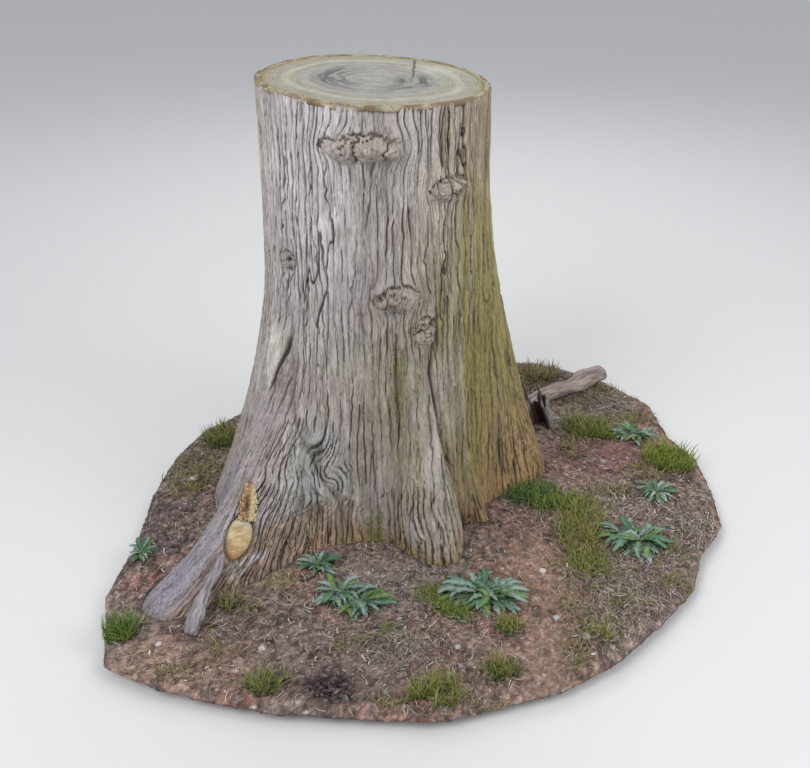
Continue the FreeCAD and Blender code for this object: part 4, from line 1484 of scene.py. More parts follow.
STONE_LAYERS = (((220.0, 220.0, 220.0), (0.3, 0.7), (0.75, 1.18), 1.0),)
stone_material = toned("stone", 0.85, STONE_LAYERS, bump=0.4, distance=0.001, space="object")
build_clods()


# ---------------------------------------------------------------- litter, grass and weeds

STRAW = (
    (0.34, 0.28, 0.24), (0.24, 0.19, 0.165), (0.40, 0.33, 0.245),
    (0.13, 0.10, 0.085), (0.54, 0.475, 0.42),
)
CHIPS = (
    (0.46, 0.39, 0.37), (0.27, 0.205, 0.19), (0.60, 0.53, 0.51),
    (0.09, 0.065, 0.06), (0.17, 0.125, 0.11),
)
STATIONS = 5                 # points along a straw or a blade of grass
STRAW_TAPER = (0.6, 1, 1, 0.8, 0.35)
BLADE_TAPER = (0.8, 1, 0.9, 0.6, 0.12)
PLANT_LAYERS = (((60.0, 60.0, 60.0), (0.3, 0.7), (0.82, 1.13), 0.0),)
plant_material = toned("plants", 0.75, PLANT_LAYERS, bump=0.1, distance=0.0005, space="object")


def straws(name, x, y, longest, node, colours=STRAW, thinnest=0.0008, thickest=0.0017):
    """Dry stems lying on the ground, each a little bent and resting on the earth or on others."""
    count = len(x)
    length = longest * random.uniform(0.25, 1.0, count)
    heading = random.random(count) * TAU
    bend = random.uniform(-0.9, 0.9, count)
    step = length / (STATIONS - 1)
    path_x, path_y = np.empty((2, count, STATIONS))
    path_x[:, 0] = x - np.cos(heading) * length / 2
    path_y[:, 0] = y - np.sin(heading) * length / 2
    for k in range(1, STATIONS):
        now = heading + bend * (k / (STATIONS - 1) - 0.5) * 2
        path_x[:, k] = path_x[:, k - 1] + np.cos(now) * step
        path_y[:, k] = path_y[:, k - 1] + np.sin(now) * step
    path_x, path_y = kept_on_patch(path_x, path_y)
    lift = random.random(count)[:, None] ** 2 * 0.012 + 0.001
    tilt = random.uniform(-0.006, 0.006, count)[:, None] * np.linspace(-1, 1, STATIONS)
    z = np.maximum(soil_height(path_x, path_y) + lift + tilt, GROUND - 0.012)
    breadth = random.uniform(thinnest, thickest, count)[:, None] * STRAW_TAPER
    colour = np.repeat(shades(colours, count, 0.3)[:, None], STATIONS, 1)
    paths = np.stack([path_x, path_y, z], -1)
    item = bundle(name, paths, np.tile((0.0, 0.0, 1.0), (count, 1)), breadth * 0.7, breadth, colour)
    dress(item, plant_material, "dry_grass", node)


# Straws of each mat of litter.
MATS = {
    "litter_right_front": 900,
    "litter_right": 620,
    "litter_front": 620,
    "litter_back_right": 420,
}
# Places that are tried for loose straws and for chips, and the most chips that are kept.
STRAW_PLACES = 13000
CHIP_PLACES = 16000
MOST_CHIPS = 6500


def build_litter():
    """Mats of dry stems where the CAD has them, and loose ones between."""
    for node, count in MATS.items():
        x, y = at_node(node, count, 0.75)
        spread_x, spread_y = random.normal(0, 0.035, (2, count))
        straws(node, *kept_on_patch(x + spread_x, y + spread_y), 0.065, node)
    x, y = on_patch(STRAW_PLACES)
    right_front = smooth(0.42, 0.95, x + 0.55 * (-y)) * smooth(-0.02, -0.25, y)
    back = smooth(0.25, 0.6, y)
    foot = bell(x, 0.28) * bell(y + 0.62, 0.14)
    left_front = bell(x + 0.02, 0.35) * bell(y + 0.86, 0.16)
    chance = 0.24 + 0.85 * right_front + 0.4 * back + 0.9 * foot + 0.55 * left_front
    chance = np.clip(chance, 0, 1) * np.clip(1 - bare_ground(x, y), 0.05, 1)
    kept = random.random(len(x)) < chance
    straws("loose_litter", x[kept], y[kept], 0.045, "litter_right")
    x, y = on_patch(CHIP_PLACES)
    right = bell(x - 0.95, 0.24) * bell(y + 0.42, 0.40)
    chance = np.clip(0.10 + 0.95 * right + 0.25 * bell(x, 0.3) * bell(y + 0.75, 0.2), 0, 1)
    chance = chance * np.clip(1 - bare_ground(x, y), 0.03, 1)
    kept = np.flatnonzero(random.random(len(x)) < chance)[:MOST_CHIPS]
    straws("litter_chips", x[kept], y[kept], 0.022, "litter_right_front", CHIPS, 0.0012, 0.0030)


build_litter()


def blades(name, x, y, length, colours, tips, node, slot="grass", lean=0.9, breadth=0.0019):
    """Grass blades that rise and bend over outwards."""
    count = len(x)
    length = length * random.uniform(0.55, 1.15, count)
    heading = random.random(count) * TAU
    bend = random.uniform(0.35, 1.0, count) * lean
    share = np.linspace(0, 1, STATIONS)
    angle = bend[:, None] * (0.35 + share)
    step = length[:, None] / (STATIONS - 1)
    out = np.cumsum(np.sin(angle) * step, 1) - np.sin(angle[:, :1]) * step
    rise = np.cumsum(np.cos(angle) * step, 1) - np.cos(angle[:, :1]) * step
    path_x = x[:, None] + np.cos(heading)[:, None] * out
    path_y = y[:, None] + np.sin(heading)[:, None] * out
    path_x, path_y = kept_on_patch(path_x, path_y)
    z = soil_height(x, y)[:, None] - 0.003 + rise
    paths = np.stack([path_x, path_y, z], -1)
    across = np.stack([-np.sin(heading), np.cos(heading), 0 * heading], 1)
    wide = breadth * random.uniform(0.6, 1.2, count)[:, None] * BLADE_TAPER
    # Painted shade darkens the base of each blade and painted light brightens its tip, over the blades'
    # own colours low down and at the tips.
    low = shades(colours, count, 0.35) * 0.66
    tip = shades(tips, count, 0.35) * 1.28
    colour = low[:, None] + (tip - low)[:, None] * (share ** 1.5)[None, :, None]
    item = bundle(name, paths, across, wide, wide * 0.28, colour)
    dress(item, plant_material, slot, node)


GREENS = ((0.105, 0.190, 0.045), (0.065, 0.125, 0.035), (0.16, 0.235, 0.06))
LIMES = ((0.20, 0.285, 0.040), (0.14, 0.20, 0.03), (0.28, 0.32, 0.075))
YELLOWS = ((0.30, 0.265, 0.09), (0.24, 0.225, 0.08), (0.21, 0.225, 0.06))
DRIES = ((0.33, 0.275, 0.14), (0.27, 0.215, 0.12), (0.38, 0.33, 0.20))

# Tufts that have a stand-in in the CAD: number of blades, length, colours low down and at the tips.
TUFTS = (
    ("grass_right_strip", 480, 0.060, LIMES, YELLOWS),
    ("grass_right_rim", 620, 0.075, LIMES, LIMES),
    ("grass_by_stub", 480, 0.066, GREENS, YELLOWS),
    ("grass_back_right", 420, 0.060, YELLOWS, DRIES),
    ("grass_left_rim", 260, 0.080, LIMES, GREENS),
    ("grass_front_rim", 300, 0.070, LIMES, YELLOWS),
    ("grass_front_left", 240, 0.070, GREENS, YELLOWS),
    ("grass_front_middle", 150, 0.055, LIMES, YELLOWS),
    ("grass_front_right", 180, 0.065, GREENS, YELLOWS),
    ("grass_left_back", 380, 0.060, GREENS, YELLOWS),
    ("grass_left_root", 150, 0.055, GREENS, DRIES),
)

# Loose growth with no stand-in of its own: x, y, half sizes, number, length, colours, tips.
SPRIGS = (
    (0.56, -0.17, 0.09, 0.05, 420, 0.062, GREENS, GREENS),
    (0.66, -0.22, 0.09, 0.05, 380, 0.058, GREENS, LIMES),
    (0.76, -0.30, 0.06, 0.08, 260, 0.055, LIMES, DRIES),
    (0.72, -0.42, 0.07, 0.09, 240, 0.055, YELLOWS, YELLOWS),
    (0.66, -0.36, 0.09, 0.12, 240, 0.050, DRIES, DRIES),
    (0.70, -0.53, 0.07, 0.05, 260, 0.055, LIMES, YELLOWS),
    (0.88, -0.44, 0.15, 0.10, 260, 0.045, YELLOWS, DRIES),
    (0.98, -0.62, 0.10, 0.07, 160, 0.045, DRIES, YELLOWS),
    (0.90, 0.24, 0.10, 0.04, 260, 0.055, LIMES, LIMES),
    (0.70, -0.58, 0.12, 0.07, 160, 0.045, LIMES, DRIES),
    (0.19, -0.69, 0.06, 0.05, 260, 0.048, LIMES, YELLOWS),
    (0.25, -0.75, 0.07, 0.05, 240, 0.045, GREENS, LIMES),
    (0.68, -0.85, 0.07, 0.05, 110, 0.050, LIMES, YELLOWS),
    (0.63, -0.75, 0.06, 0.07, 110, 0.050, DRIES, DRIES),
    (0.76, -0.72, 0.05, 0.06, 70, 0.045, DRIES, YELLOWS),
    (0.60, -0.93, 0.05, 0.05, 90, 0.050, YELLOWS, DRIES),
    (0.03, -0.84, 0.03, 0.03, 40, 0.040, LIMES, GREENS),
    (-0.06, -0.88, 0.07, 0.04, 80, 0.045, DRIES, YELLOWS),
    (-0.45, -0.90, 0.07, 0.06, 70, 0.045, DRIES, YELLOWS),
    (-0.38, -0.74, 0.05, 0.05, 50, 0.040, DRIES, YELLOWS),
    (-0.58, -1.00, 0.05, 0.03, 70, 0.035, YELLOWS, DRIES),
    (-0.66, 0.00, 0.10, 0.10, 260, 0.045, YELLOWS, DRIES),
    (-0.70, -0.12, 0.06, 0.05, 110, 0.040, YELLOWS, YELLOWS),
    (0.56, 0.62, 0.14, 0.10, 300, 0.045, YELLOWS, DRIES),
    (0.92, 0.56, 0.10, 0.09, 200, 0.045, YELLOWS, DRIES),
    (1.02, 0.36, 0.10, 0.06, 150, 0.045, LIMES, DRIES),
    (1.03, -0.02, 0.12, 0.06, 200, 0.045, YELLOWS, DRIES),
    (0.86, -0.14, 0.12, 0.05, 180, 0.045, YELLOWS, DRIES),
    (1.02, -0.48, 0.05, 0.04, 70, 0.045, LIMES, YELLOWS),
    (0.74, 0.16, 0.05, 0.10, 130, 0.055, YELLOWS, DRIES),
    (-0.05, 0.72, 0.20, 0.08, 260, 0.055, GREENS, YELLOWS),
    (-0.45, 0.55, 0.14, 0.10, 240, 0.055, YELLOWS, DRIES),
    (0.27, -1.10, 0.10, 0.03, 110, 0.035, YELLOWS, DRIES),
    (0.06, -1.11, 0.08, 0.03, 90, 0.035, YELLOWS, DRIES),
)


def clumped(x, y):
    """The same places drawn together into clumps, with bare ground between them."""
    angle = TAU * noise(x * 14, y * 14, 731)
    pull = 0.014 * (0.5 + noise(x * 20, y * 20, 732))
    return x + pull * np.cos(angle), y + pull * np.sin(angle)


def build_grass():
    """The tufts where the CAD has them, and the loose sprigs between."""
    for node, count, length, colours, tips in TUFTS:
        x, y = clumped(*at_node(node, count, 0.6))
        blades(node, x, y, length, colours, tips, node)
    for number, (at_x, at_y, half_x, half_y, count, *looks) in enumerate(SPRIGS):
        x = at_x + half_x * random.normal(0, 0.55, count)
        y = at_y + half_y * random.normal(0, 0.55, count)
        turn = np.arctan2(y, x)
        reach = np.maximum(np.hypot(x, y), foot_radius(turn) + 0.006)
        x, y = kept_on_patch(*clumped(reach * np.cos(turn), reach * np.sin(turn)))
        blades(f"sprigs_{number}", x, y, *looks, "grass_right_strip", lean=1.3)


build_grass()


LEAF_ROWS, LEAF_COLUMNS = 15, 5
LEAF_THICKNESS = 0.0011


def leaf_faces(count):
    """Quads of many leaves, each with an upper side, a lower side and a skirt between them."""
    rows, columns = LEAF_ROWS, LEAF_COLUMNS
    size = rows * columns
    upper = grid_faces(rows, columns)
    border = np.concatenate([
        np.arange(columns),
        np.arange(1, rows) * columns + columns - 1,
        (rows - 1) * columns + np.arange(columns - 1)[::-1],
        np.arange(1, rows - 1)[::-1] * columns,
    ])
    following = np.roll(border, -1)
    skirt = np.stack([border, following, following + size, border + size], 1)
    leaf = np.concatenate([upper[:, ::-1], upper + size, skirt])
    return (np.arange(count) * 2 * size)[:, None, None] + leaf


def leaves(name, places, headings, lengths, widths, rises, colour, node, slot="leaf",
           lobes=5, depth=0.55):
    """Lobed leaves, each a thin closed blade folded along its midrib and arched over."""
    stations, columns = LEAF_ROWS, LEAF_COLUMNS
    share = np.linspace(0, 1, stations)
    outline = np.sin(math.pi * np.clip(share, 0, 1) ** 1.25) ** 0.8
    teeth = 1 - depth * (0.5 + 0.5 * np.cos(TAU * lobes * share)) * smooth(0, 0.15, share)
    stalk = np.where(share < 0.16, 0.16, 0)
    half = np.maximum(outline * teeth, stalk)[None] * widths[:, None]
    cut = np.linspace(-1, 1, columns)
    rise = rises[:, None] * np.sin(math.pi * share[None] * 0.8) * lengths[:, None]
    droop = 0.35 * np.abs(cut)[None, None] * half[..., None]
    ahead = lengths[:, None] * share[None]
    wave = 0.08 * lengths[:, None] * np.sin(share[None] * 9 + headings[:, None] * 5)
    turn = headings[:, None]
    x = places[:, :1] + np.cos(turn) * ahead - np.sin(turn) * wave * 0.4
    y = places[:, 1:2] + np.sin(turn) * ahead + np.cos(turn) * wave * 0.4
    side = np.stack([-np.sin(headings), np.cos(headings)], 1)
    px = x[..., None] + side[:, 0, None, None] * half[..., None] * cut
    py = y[..., None] + side[:, 1, None, None] * half[..., None] * cut
    px, py = kept_on_patch(px, py)
    ruffle = 0.12 * widths[:, None, None] * np.sin(share * 40)[None, :, None] * np.abs(cut) ** 2
    pz = places[:, 2, None, None] + rise[..., None] + droop + ruffle
    top = np.stack([px, py, pz], -1)
    points = np.stack([top, top - np.array([0, 0, LEAF_THICKNESS])], 1)
    tone = np.broadcast_to(colour[:, None, None, None], points.shape).copy()
    rib = np.exp(-((cut / 0.22) ** 2))[None, None, None, :, None]
    tone = tone * (1 + 0.55 * rib) * (0.72 + 0.38 * share[None, None, :, None, None])
    attributes = {"tone": joined(tone), "grain": joined(points)}
    item = make_mesh(name, joined(points), leaf_faces(len(places)), (), attributes)
    dress(item, leaf_material, slot, node)


LEAF_COLOURS = (
    (0.115, 0.185, 0.135), (0.15, 0.215, 0.175), (0.075, 0.15, 0.085), (0.20, 0.255, 0.215),
    (0.11, 0.175, 0.06),
)
# Each rosette: number of leaves, and how far their tips reach, as a share of the stand-in.
ROSETTES = {
    "rosette_front": (58, 1.15),
    "rosette_front_right": (78, 1.50),
    "rosette_right": (84, 1.30),
    "rosette_right_back": (52, 1.25),
    "rosette_right_rim": (44, 1.25),
    "rosette_left_rim": (36, 1.40),
    "rosette_foot": (40, 1.60),
}
LARGE_ROSETTE = 0.075        # the half size from which a rosette has three crowns
CROWNS = ((0.0, 0.0), (0.42, -0.30), (-0.40, 0.32))
GOLDEN_ANGLE = 2.39996
LEAF_SHAPE = 0.155           # a leaf's width for its length
LEAF_LAYERS = (((90.0, 90.0, 90.0), (0.3, 0.7), (0.78, 1.15), 1.0),)
leaf_material = toned("leaf", 0.6, LEAF_LAYERS, bump=0.3, distance=0.001, space="object")


def build_rosettes():
    """The broad-leaved weeds where the CAD has them, from one crown or three."""
    for node, (count, reach) in ROSETTES.items():
        low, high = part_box(node)
        centre = (low + high) / 2
        half = np.array([(high.x - low.x) / 2, (high.y - low.y) / 2])
        crowns = len(CROWNS) if half.max() > LARGE_ROSETTE else 1
        crown = np.array(CROWNS)[random.integers(0, crowns, count)] * half
        headings = np.arange(count) * GOLDEN_ANGLE + random.uniform(-0.3, 0.3, count)
        span = 1 / np.hypot(np.cos(headings) / half[0], np.sin(headings) / half[1])
        lengths = span * reach * random.uniform(0.42, 1.0, count)
        lengths = lengths * (1 - 0.35 * np.hypot(*crown.T) / half.max())
        x = centre.x + crown[:, 0] * 0.8
        y = centre.y + crown[:, 1] * 0.8
        z = soil_height(x, y) + random.uniform(0.002, 0.012, count)
        colour = shades(LEAF_COLOURS, count, 0.2)
        places = np.stack([x, y, z], 1)
        rises = random.uniform(0.06, 0.36, count)
        leaves(node, places, headings, lengths, lengths * LEAF_SHAPE, rises, colour, node)


build_rosettes()


DEAD_STEMS = ((0.060, 0.038, 0.045), (0.09, 0.06, 0.062))
DEAD_TIPS = ((0.075, 0.05, 0.055), (0.12, 0.085, 0.08))
DEAD_LEAVES = ((0.055, 0.035, 0.04), (0.085, 0.058, 0.06), (0.12, 0.10, 0.095))
DEAD_LEAF_COUNT = 46


def build_dead_weed():
    """A dead plant: dark purple-brown wiry stems with curled leaves."""
    x, y = at_node("dead_weed", 110, 0.6)
    blades("dead_weed", x, y, 0.075, DEAD_STEMS, DEAD_TIPS, "dead_weed", "dead_leaf", 1.2, 0.0016)
    count = DEAD_LEAF_COUNT
    x, y = at_node("dead_weed", count, 0.6)
    places = np.stack([x, y, soil_height(x, y) + random.uniform(0.004, 0.03, count)], 1)
    lengths = random.uniform(0.018, 0.034, count)
    colour = shades(DEAD_LEAVES, count)
    headings = random.random(count) * 6.3
    rises = random.uniform(0.1, 0.7, count)
    looks = headings, lengths, lengths * 0.28, rises, colour
    leaves("dead_weed_leaves", places, *looks, "dead_weed", "dead_leaf", lobes=3, depth=0.5)


build_dead_weed()


def limb(name, start, end, radii, colour, slot, node, seed, bow=0.0, wiggle=0.0, flatten=1.0,
         twist=0.0, rows=60, columns=48, relief=0.0012):
    """A stick or a root from one point to another, with fibres along it."""
    start, end = np.asarray(start, float), np.asarray(end, float)
    share = np.linspace(0, 1, rows)
    length = np.linalg.norm(end - start)
    along = (end - start) / length
    across = np.cross(along, (0, 0, 1.0))
    across /= np.linalg.norm(across)
    upward = np.cross(across, along)
    middle = start + (end - start) * share[:, None]
    middle = middle + upward * (bow * np.sin(math.pi * share))[:, None]
    middle = middle + across * (wiggle * line_noise(share * 5, seed + 1))[:, None]
    middle = middle + upward * (wiggle * line_noise(share * 5, seed + 2, 3.0))[:, None]
    radius = np.interp(share, np.linspace(0, 1, len(radii)), radii)
    radius = radius * (1 + 0.10 * line_noise(share * 9, seed + 3))
    radius[0] *= 0.75
    radius[-1] *= 0.75
    turn = round_turns(columns)
    zero = np.zeros((rows, columns))
    turns = turn / TAU + zero
    fibres = noise(turns * 16, share[:, None] * 7, seed + 4, 16)
    fine = noise(turns * 40, share[:, None] * 20, seed + 5, 40)
    width = radius[:, None] + relief * (fibres * 1.6 + fine)
    flat = np.cos(turn)[None] * width
    thick = np.sin(turn)[None] * width * flatten
    cos, sin = np.cos(twist * share)[:, None], np.sin(twist * share)[:, None]
    u = flat * cos - thick * sin
    v = flat * sin + thick * cos
    rings = middle[:, None] + across * u[..., None] + upward * v[..., None]
    tint = np.asarray(colour)[None, None] * (1 + 0.35 * fibres + 0.25 * fine)[..., None]
    grain = np.stack([turn * radius.max() + zero, share[:, None] * length + zero, zero], -1)
    attributes = {"tone": np.clip(tint, 0.01, 1)[:, ::-1], "grain": grain[:, ::-1]}
    item = lathe(name, rings[:, ::-1], fibre_material, attributes)
    dress(item, fibre_material, slot, node)


FIBRE_LAYERS = (
    ((260.0, 22.0, 60.0), (0.3, 0.7), (0.66, 1.24), 1.0),
    ((900.0, 60.0, 60.0), (0.3, 0.7), (0.80, 1.14), 0.5),
)
fibre_material = toned("dead_wood", 0.9, FIBRE_LAYERS, bump=0.7, distance=0.002)
PALE_ROOT = (0.30, 0.245, 0.225)
DEAD_STRIP = (0.26, 0.235, 0.25)
DEAD_PRONG = (0.20, 0.18, 0.20)
DRY_TWIG = (0.15, 0.11, 0.095)


def build_sticks():
    """The pale root at the back, the dead strip on the left root with its prong, and the twigs."""
    low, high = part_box("surface_root")
    limb(
        "surface_root",
        (low.x - 0.01, low.y + 0.02, GROUND + 0.015),
        (high.x - 0.025, high.y - 0.025, GROUND + 0.035),
        (0.026, 0.034, 0.033, 0.044, 0.040), PALE_ROOT, "pale_root", "surface_root", 801,
        bow=0.018, wiggle=0.012, flatten=0.85, relief=0.0022,
    )
    low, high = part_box("dead_root_strip")
    limb(
        "dead_root_strip",
        (high.x - 0.030, high.y - 0.012, high.z - 0.020),
        (low.x + 0.016, low.y + 0.012, GROUND + 0.004),
        (0.013, 0.014, 0.014, 0.017, 0.022, 0.020), DEAD_STRIP, "dead_wood", "dead_root_strip", 811,
        bow=0.006, wiggle=0.004, flatten=0.62, twist=0.5, relief=0.0026,
    )
    limb(
        "dead_root_prong",
        (low.x + 0.020, low.y + 0.085, GROUND + 0.052),
        (low.x - 0.006, low.y + 0.034, GROUND + 0.002),
        (0.006, 0.009, 0.010, 0.007), DEAD_PRONG, "dead_wood", "dead_root_strip", 815,
        wiggle=0.003, flatten=0.7, rows=26, columns=24, relief=0.0014,
    )
    for number, stick in enumerate(islands("dry_twigs")):
        middle = stick.mean(0)
        direction = np.linalg.svd(stick - middle, full_matrices=False)[2][0]
        reach = (stick - middle) @ direction
        start, end = middle + direction * reach.min(), middle + direction * reach.max()
        start[2] = soil_height(start[:1], start[1:2])[0] + 0.003
        end[2] = soil_height(end[:1], end[1:2])[0] + 0.003
        limb(
            f"dry_twig_{number}", start, end,
            (0.0035, 0.003, 0.0022, 0.0015), DRY_TWIG, "twig", "dry_twigs", 821 + 7 * number,
            bow=0.004, wiggle=0.010, rows=26, columns=10, relief=0.0002,
        )


build_sticks()


STUB_FROM, STUB_TO = math.radians(-62), math.radians(208)   # the part of a turn that is left
STUB_DARK = np.array((0.070, 0.055, 0.052))
STUB_GREY = np.array((0.30, 0.28, 0.285))
STUB_HOLLOW = np.array((0.070, 0.038, 0.032))


def build_stub():
    """The dead stub at the back right: a leaning half shell of dark wood, open towards the front."""
    low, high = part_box("dead_root_stub")
    foot = np.array([(low.x + high.x) / 2 + 0.018, (low.y + high.y) / 2 - 0.012, GROUND - 0.02])
    tip = np.array([low.x + 0.026, high.y - 0.03, high.z])
    rows, columns = 56, 60
    share = np.linspace(0, 1, rows)[:, None]
    arc = np.linspace(STUB_FROM, STUB_TO, columns)[None]
    jag = 0.74 + 0.22 * line_noise(arc * 1.9, 831) + 0.10 * line_noise(arc * 7, 832)
    height = share * jag
    middle = foot + (tip - foot) * height[..., None]
    radius = 0.050 - 0.016 * height ** 2 + 0.010 * noise(arc * 3, height * 3.5, 833)
    radius = radius + 0.004 * noise(arc * 12, height * 6, 834)
    thick = 0.013 * (1 - 0.75 * share ** 3) * (1 + 0.35 * noise(arc * 6, height * 5, 837))
    zero = np.zeros((rows, columns))
    outward = np.stack([np.cos(arc) + zero, 0.75 * np.sin(arc) + zero, zero], -1)
    outside = middle + outward * radius[..., None]
    inside = middle + outward * (radius - thick)[..., None]
    size = rows * columns
    bottom = np.arange(columns)
    top = (rows - 1) * columns + np.arange(columns)
    left = np.arange(rows) * columns
    right = left + columns - 1

    def strip(line):
        return np.stack([line[1:], line[:-1], line[:-1] + size, line[1:] + size], 1)

    side = grid_faces(rows, columns)
    edges = strip(bottom), strip(top)[:, ::-1], strip(left)[:, ::-1], strip(right)
    quads = np.concatenate([side, side[:, ::-1] + size, *edges])
    fibres = noise(arc * 14, height * 3, 835) + 0.5 * noise(arc * 40, height * 9, 836)
    dark = STUB_DARK * (1 + 0.6 * fibres)[..., None]
    grey = STUB_GREY * (1 + 0.4 * fibres)[..., None]
    hollow = STUB_HOLLOW * (1 + 0.6 * fibres)[..., None]
    weathered = smooth(-0.2, 0.35, layered(arc * 3.2, height * 5, 838, 3))
    tip_weathered = weathered * smooth(0.7, 0.95, share)
    dark = dark + (grey - dark) * (0.85 * weathered)[..., None]
    hollow = hollow + (grey - hollow) * (0.7 * tip_weathered)[..., None]
    grain = np.stack([arc * 0.05 + zero, height * 0.25, zero], -1)
    attributes = {"tone": np.clip(joined(dark, hollow), 0.012, 1), "grain": joined(grain, grain)}
    item = make_mesh("dead_root_stub", joined(outside, inside), quads, (), attributes)
    dress(item, fibre_material, "charred_root", "dead_root_stub")


build_stub()


# ---------------------------------------------------------------- the sawn limb on the left root

CUT_LAYERS = (((240.0, 240.0, 240.0), (0.3, 0.7), (0.78, 1.15), 1.0),)
cut_material = toned("cut_wood", 0.8, CUT_LAYERS, bump=0.5, distance=0.001)
CUT_COLUMNS, CUT_ROWS = 96, 44
CUT_DEPTH = 0.022
CUT_LOW = (0.36, 0.215, 0.09)
CUT_MIDDLE = (0.53, 0.41, 0.225)
CUT_HIGH = (0.64, 0.57, 0.43)
SAW_LINES = (0.27, 0.17, 0.08)
CUT_EDGE = (0.14, 0.09, 0.05)
CUT_BACK = (0.25, 0.17, 0.09)


def build_saw_face():
    """A smooth oval saw cut with fine lines across it."""
    centre, normal, up, side = CUT_FACE
    turn = round_turns(CUT_COLUMNS)
    edge = 1 + 0.08 * round_noise(turn, 7, 841)
    share = np.linspace(1, 0.02, CUT_ROWS)[:, None]
    u = CUT_HALF_WIDTH * edge * np.cos(turn) * share
    v = CUT_HALF_HEIGHT * edge * np.sin(turn) * share
    lines = layered(u * 26 + v * 6, (v - 0.30 * u) * 190, 842, 2)
    lift = 0.006 + 0.00012 * lines - 0.002 * (u / CUT_HALF_WIDTH) ** 2
    face = centre + side * u[..., None] + up * v[..., None] + normal * lift[..., None]
    floor = centre - normal * CUT_DEPTH
    back = floor + side * u[:1, :, None] * 0.96 + up * v[:1, :, None] * 0.96
    middle = floor + side * u[-1:, :, None] + up * v[-1:, :, None]
    rings = np.concatenate([middle, back, face])
    tone = np.tile(CUT_LOW, (CUT_ROWS * CUT_COLUMNS, 1))
    blotch = layered(u.ravel() * 40, v.ravel() * 40, 843, 3)
    height = v.ravel() / CUT_HALF_HEIGHT
    tone = mix(tone, CUT_MIDDLE, smooth(-0.8, 0.0, height + 0.6 * blotch))
    tone = mix(tone, CUT_HIGH, smooth(-0.1, 0.6, height + 0.7 * blotch))
    tone = mix(tone, SAW_LINES, 0.50 * smooth(0.0, -0.45, lines.ravel()))
    worn = smooth(0.86, 0.99, np.broadcast_to(share, u.shape).ravel() + 0.06 * blotch)
    tone = mix(tone, CUT_EDGE, 0.85 * worn)
    plain = np.tile(CUT_BACK, (2 * CUT_COLUMNS, 1))
    tone = np.concatenate([plain, tone]).reshape(rings.shape)
    item = lathe("sawn_limb_face", rings, cut_material, {"tone": tone, "grain": rings})
    dress(item, cut_material, "sawn_wood", "sawn_limb_face")


build_saw_face()

CRUMBS = 900
CRUMB_COLOURS = ((0.42, 0.27, 0.14), (0.33, 0.18, 0.09), (0.50, 0.39, 0.20), (0.36, 0.21, 0.14))
PALE_CRUMBS = (0.56, 0.46, 0.27)
ROT_HOLLOW_SHADE = (0.075, 0.035, 0.02)


def build_rotten_wood():
    """Crumbling orange wood above the saw cut, with a hollow in it that is darkened with painted shade.
    """
    centre, normal, up, side = ROT_FACE
    count = CRUMBS
    u = random.normal(0, 0.46, count).clip(-1, 1)
    v = random.uniform(-1, 1, count)
    hollow = bell(np.hypot(u + 0.15, (v + 0.20) * 0.7), 0.40)
    u = u * (1 - 0.45 * v.clip(0, 1))
    places = centre + side * (u * ROT_HALF_WIDTH)[:, None] + up * (v * ROT_HALF_HEIGHT)[:, None]
    depth = 0.001 + 0.011 * hollow + 0.004 * u * u
    places = places + normal * (random.uniform(-0.003, 0.002, count) - depth)[:, None]
    sizes = random.uniform((0.0022, 0.0022, 0.003), (0.005, 0.005, 0.011), (count, 3))
    colour = shades(CRUMB_COLOURS, count, 0.3)
    colour = mix(colour, PALE_CRUMBS, 0.9 * smooth(0.10, 0.5, u))
    # Painted shade in the hollow.
    colour = mix(colour, ROT_HOLLOW_SHADE, 0.92 * hollow)
    item = blobs("rotten_limb_wood", places, sizes, colour, 0.7)
    dress(item, cut_material, "rotten_wood", "rotten_limb_wood")


build_rotten_wood()

MOSS_COLOURS = ((0.20, 0.21, 0.075), (0.15, 0.165, 0.055), (0.26, 0.24, 0.10))
MOSS_CUSHIONS = 420

def build_moss():
    """Cushions of moss in the furrows, where the CAD has its two patches."""
    count = MOSS_CUSHIONS
    for node in ("moss_strip", "moss_foot"):
        at, height, half_width, half_height = spot(node)
        radius = sample(radius_grid, np.array([at]), np.array([height]))[0]
        turn = at + random.normal(0, 0.75, count).clip(-1.6, 1.6) * half_width / radius
        level = height + random.uniform(-1, 1, count) * half_height * 1.1
        kept = layered(turn * 60, level * 22, 851, 2) > 0.0
        turn, level = turn[kept], np.maximum(level[kept], GROUND + 0.004)
        points, out, _, _ = bark(turn, level)
        sizes = random.uniform((0.0010, 0.0010, 0.0012), (0.0026, 0.0026, 0.0042), (len(turn), 3))
        colour = shades(MOSS_COLOURS, len(turn), 0.3)
        item = blobs(node, points + out * 0.001, sizes, colour, 0.6)
        dress(item, soil_material, "moss", node)


build_moss()


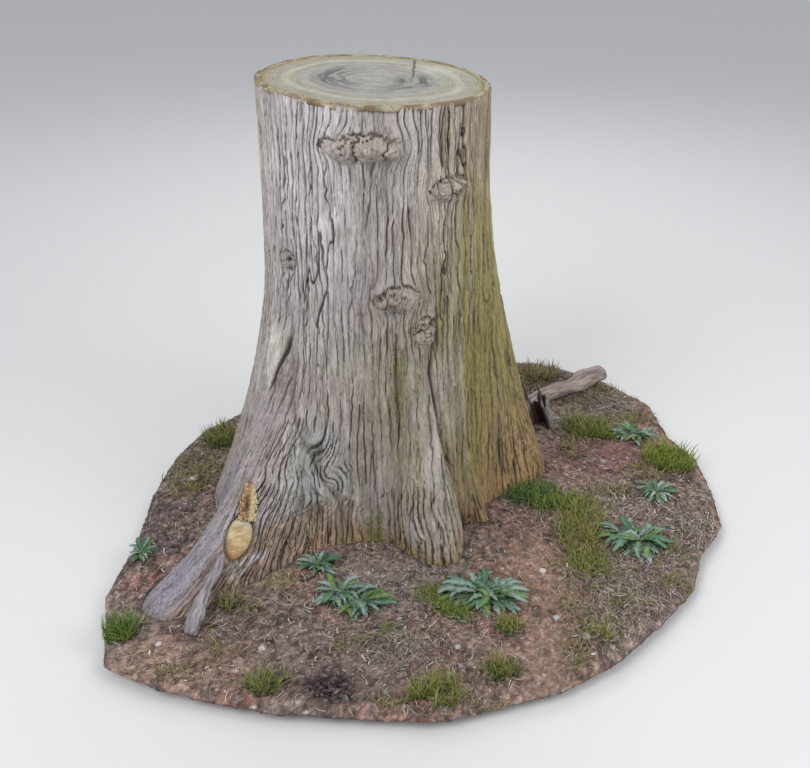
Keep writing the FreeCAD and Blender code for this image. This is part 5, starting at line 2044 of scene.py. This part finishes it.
# ---------------------------------------------------------------- stage

FLOOR_SIZE = 30.0
FLOOR_PAINT = (0.62, 0.62, 0.62, 1)
SKY = (0.93, 0.96, 1.0, 1)
SKY_STRENGTH = 0.68
# Soft lamps, all aimed at one point of the stump: name, place, power, breadth.
LAMPS = (
    ("key", (-2.6, -3.4, 4.6), 170, 2.6),
    ("fill", (3.6, -2.2, 3.2), 95, 2.6),
    ("back", (0.5, 3.8, 4.2), 80, 3.0),
)
LIT_POINT = (0.1, 0, 0.6)
CAMERA_PLACE = (0.094, -2.88, 2.07 + GROUND)
CAMERA_DOWN = 30.4           # degrees that the camera looks down
CAMERA_LENS, CAMERA_SENSOR = 41.2, 36


def build_stage():
    """A pale plain floor, soft light from all round and the camera."""
    scene = bpy.context.scene
    scene.view_settings.view_transform = "Standard"
    world = bpy.data.worlds.new("studio")
    scene.world = world
    world.use_nodes = True
    sky = world.node_tree.nodes["Background"]
    sky.inputs["Color"].default_value = SKY
    sky.inputs["Strength"].default_value = SKY_STRENGTH
    far = FLOOR_SIZE
    corners = [(-far, -far, 0), (far, -far, 0), (far, far, 0), (-far, far, 0)]
    floor = make_mesh("floor", corners, [(0, 1, 2, 3)])
    paint, _, shader, _ = new_material("floor_paint", 0.9)
    shader.inputs["Base Color"].default_value = FLOOR_PAINT
    floor.data.materials.append(paint)
    for name, place, power, breadth in LAMPS:
        lamp = bpy.data.lights.new(name, "AREA")
        lamp.energy = power
        lamp.size = breadth
        item = bpy.data.objects.new(name, lamp)
        item.location = place
        aim = Vector(LIT_POINT) - Vector(place)
        item.rotation_euler = aim.to_track_quat("-Z", "Y").to_euler()
        scene.collection.objects.link(item)
    camera = bpy.data.cameras.new("camera")
    camera.lens = CAMERA_LENS
    camera.sensor_width = CAMERA_SENSOR
    item = bpy.data.objects.new("camera", camera)
    item.location = CAMERA_PLACE
    item.rotation_euler = (math.radians(90 - CAMERA_DOWN), 0, 0)
    scene.collection.objects.link(item)
    scene.camera = item


build_stage()
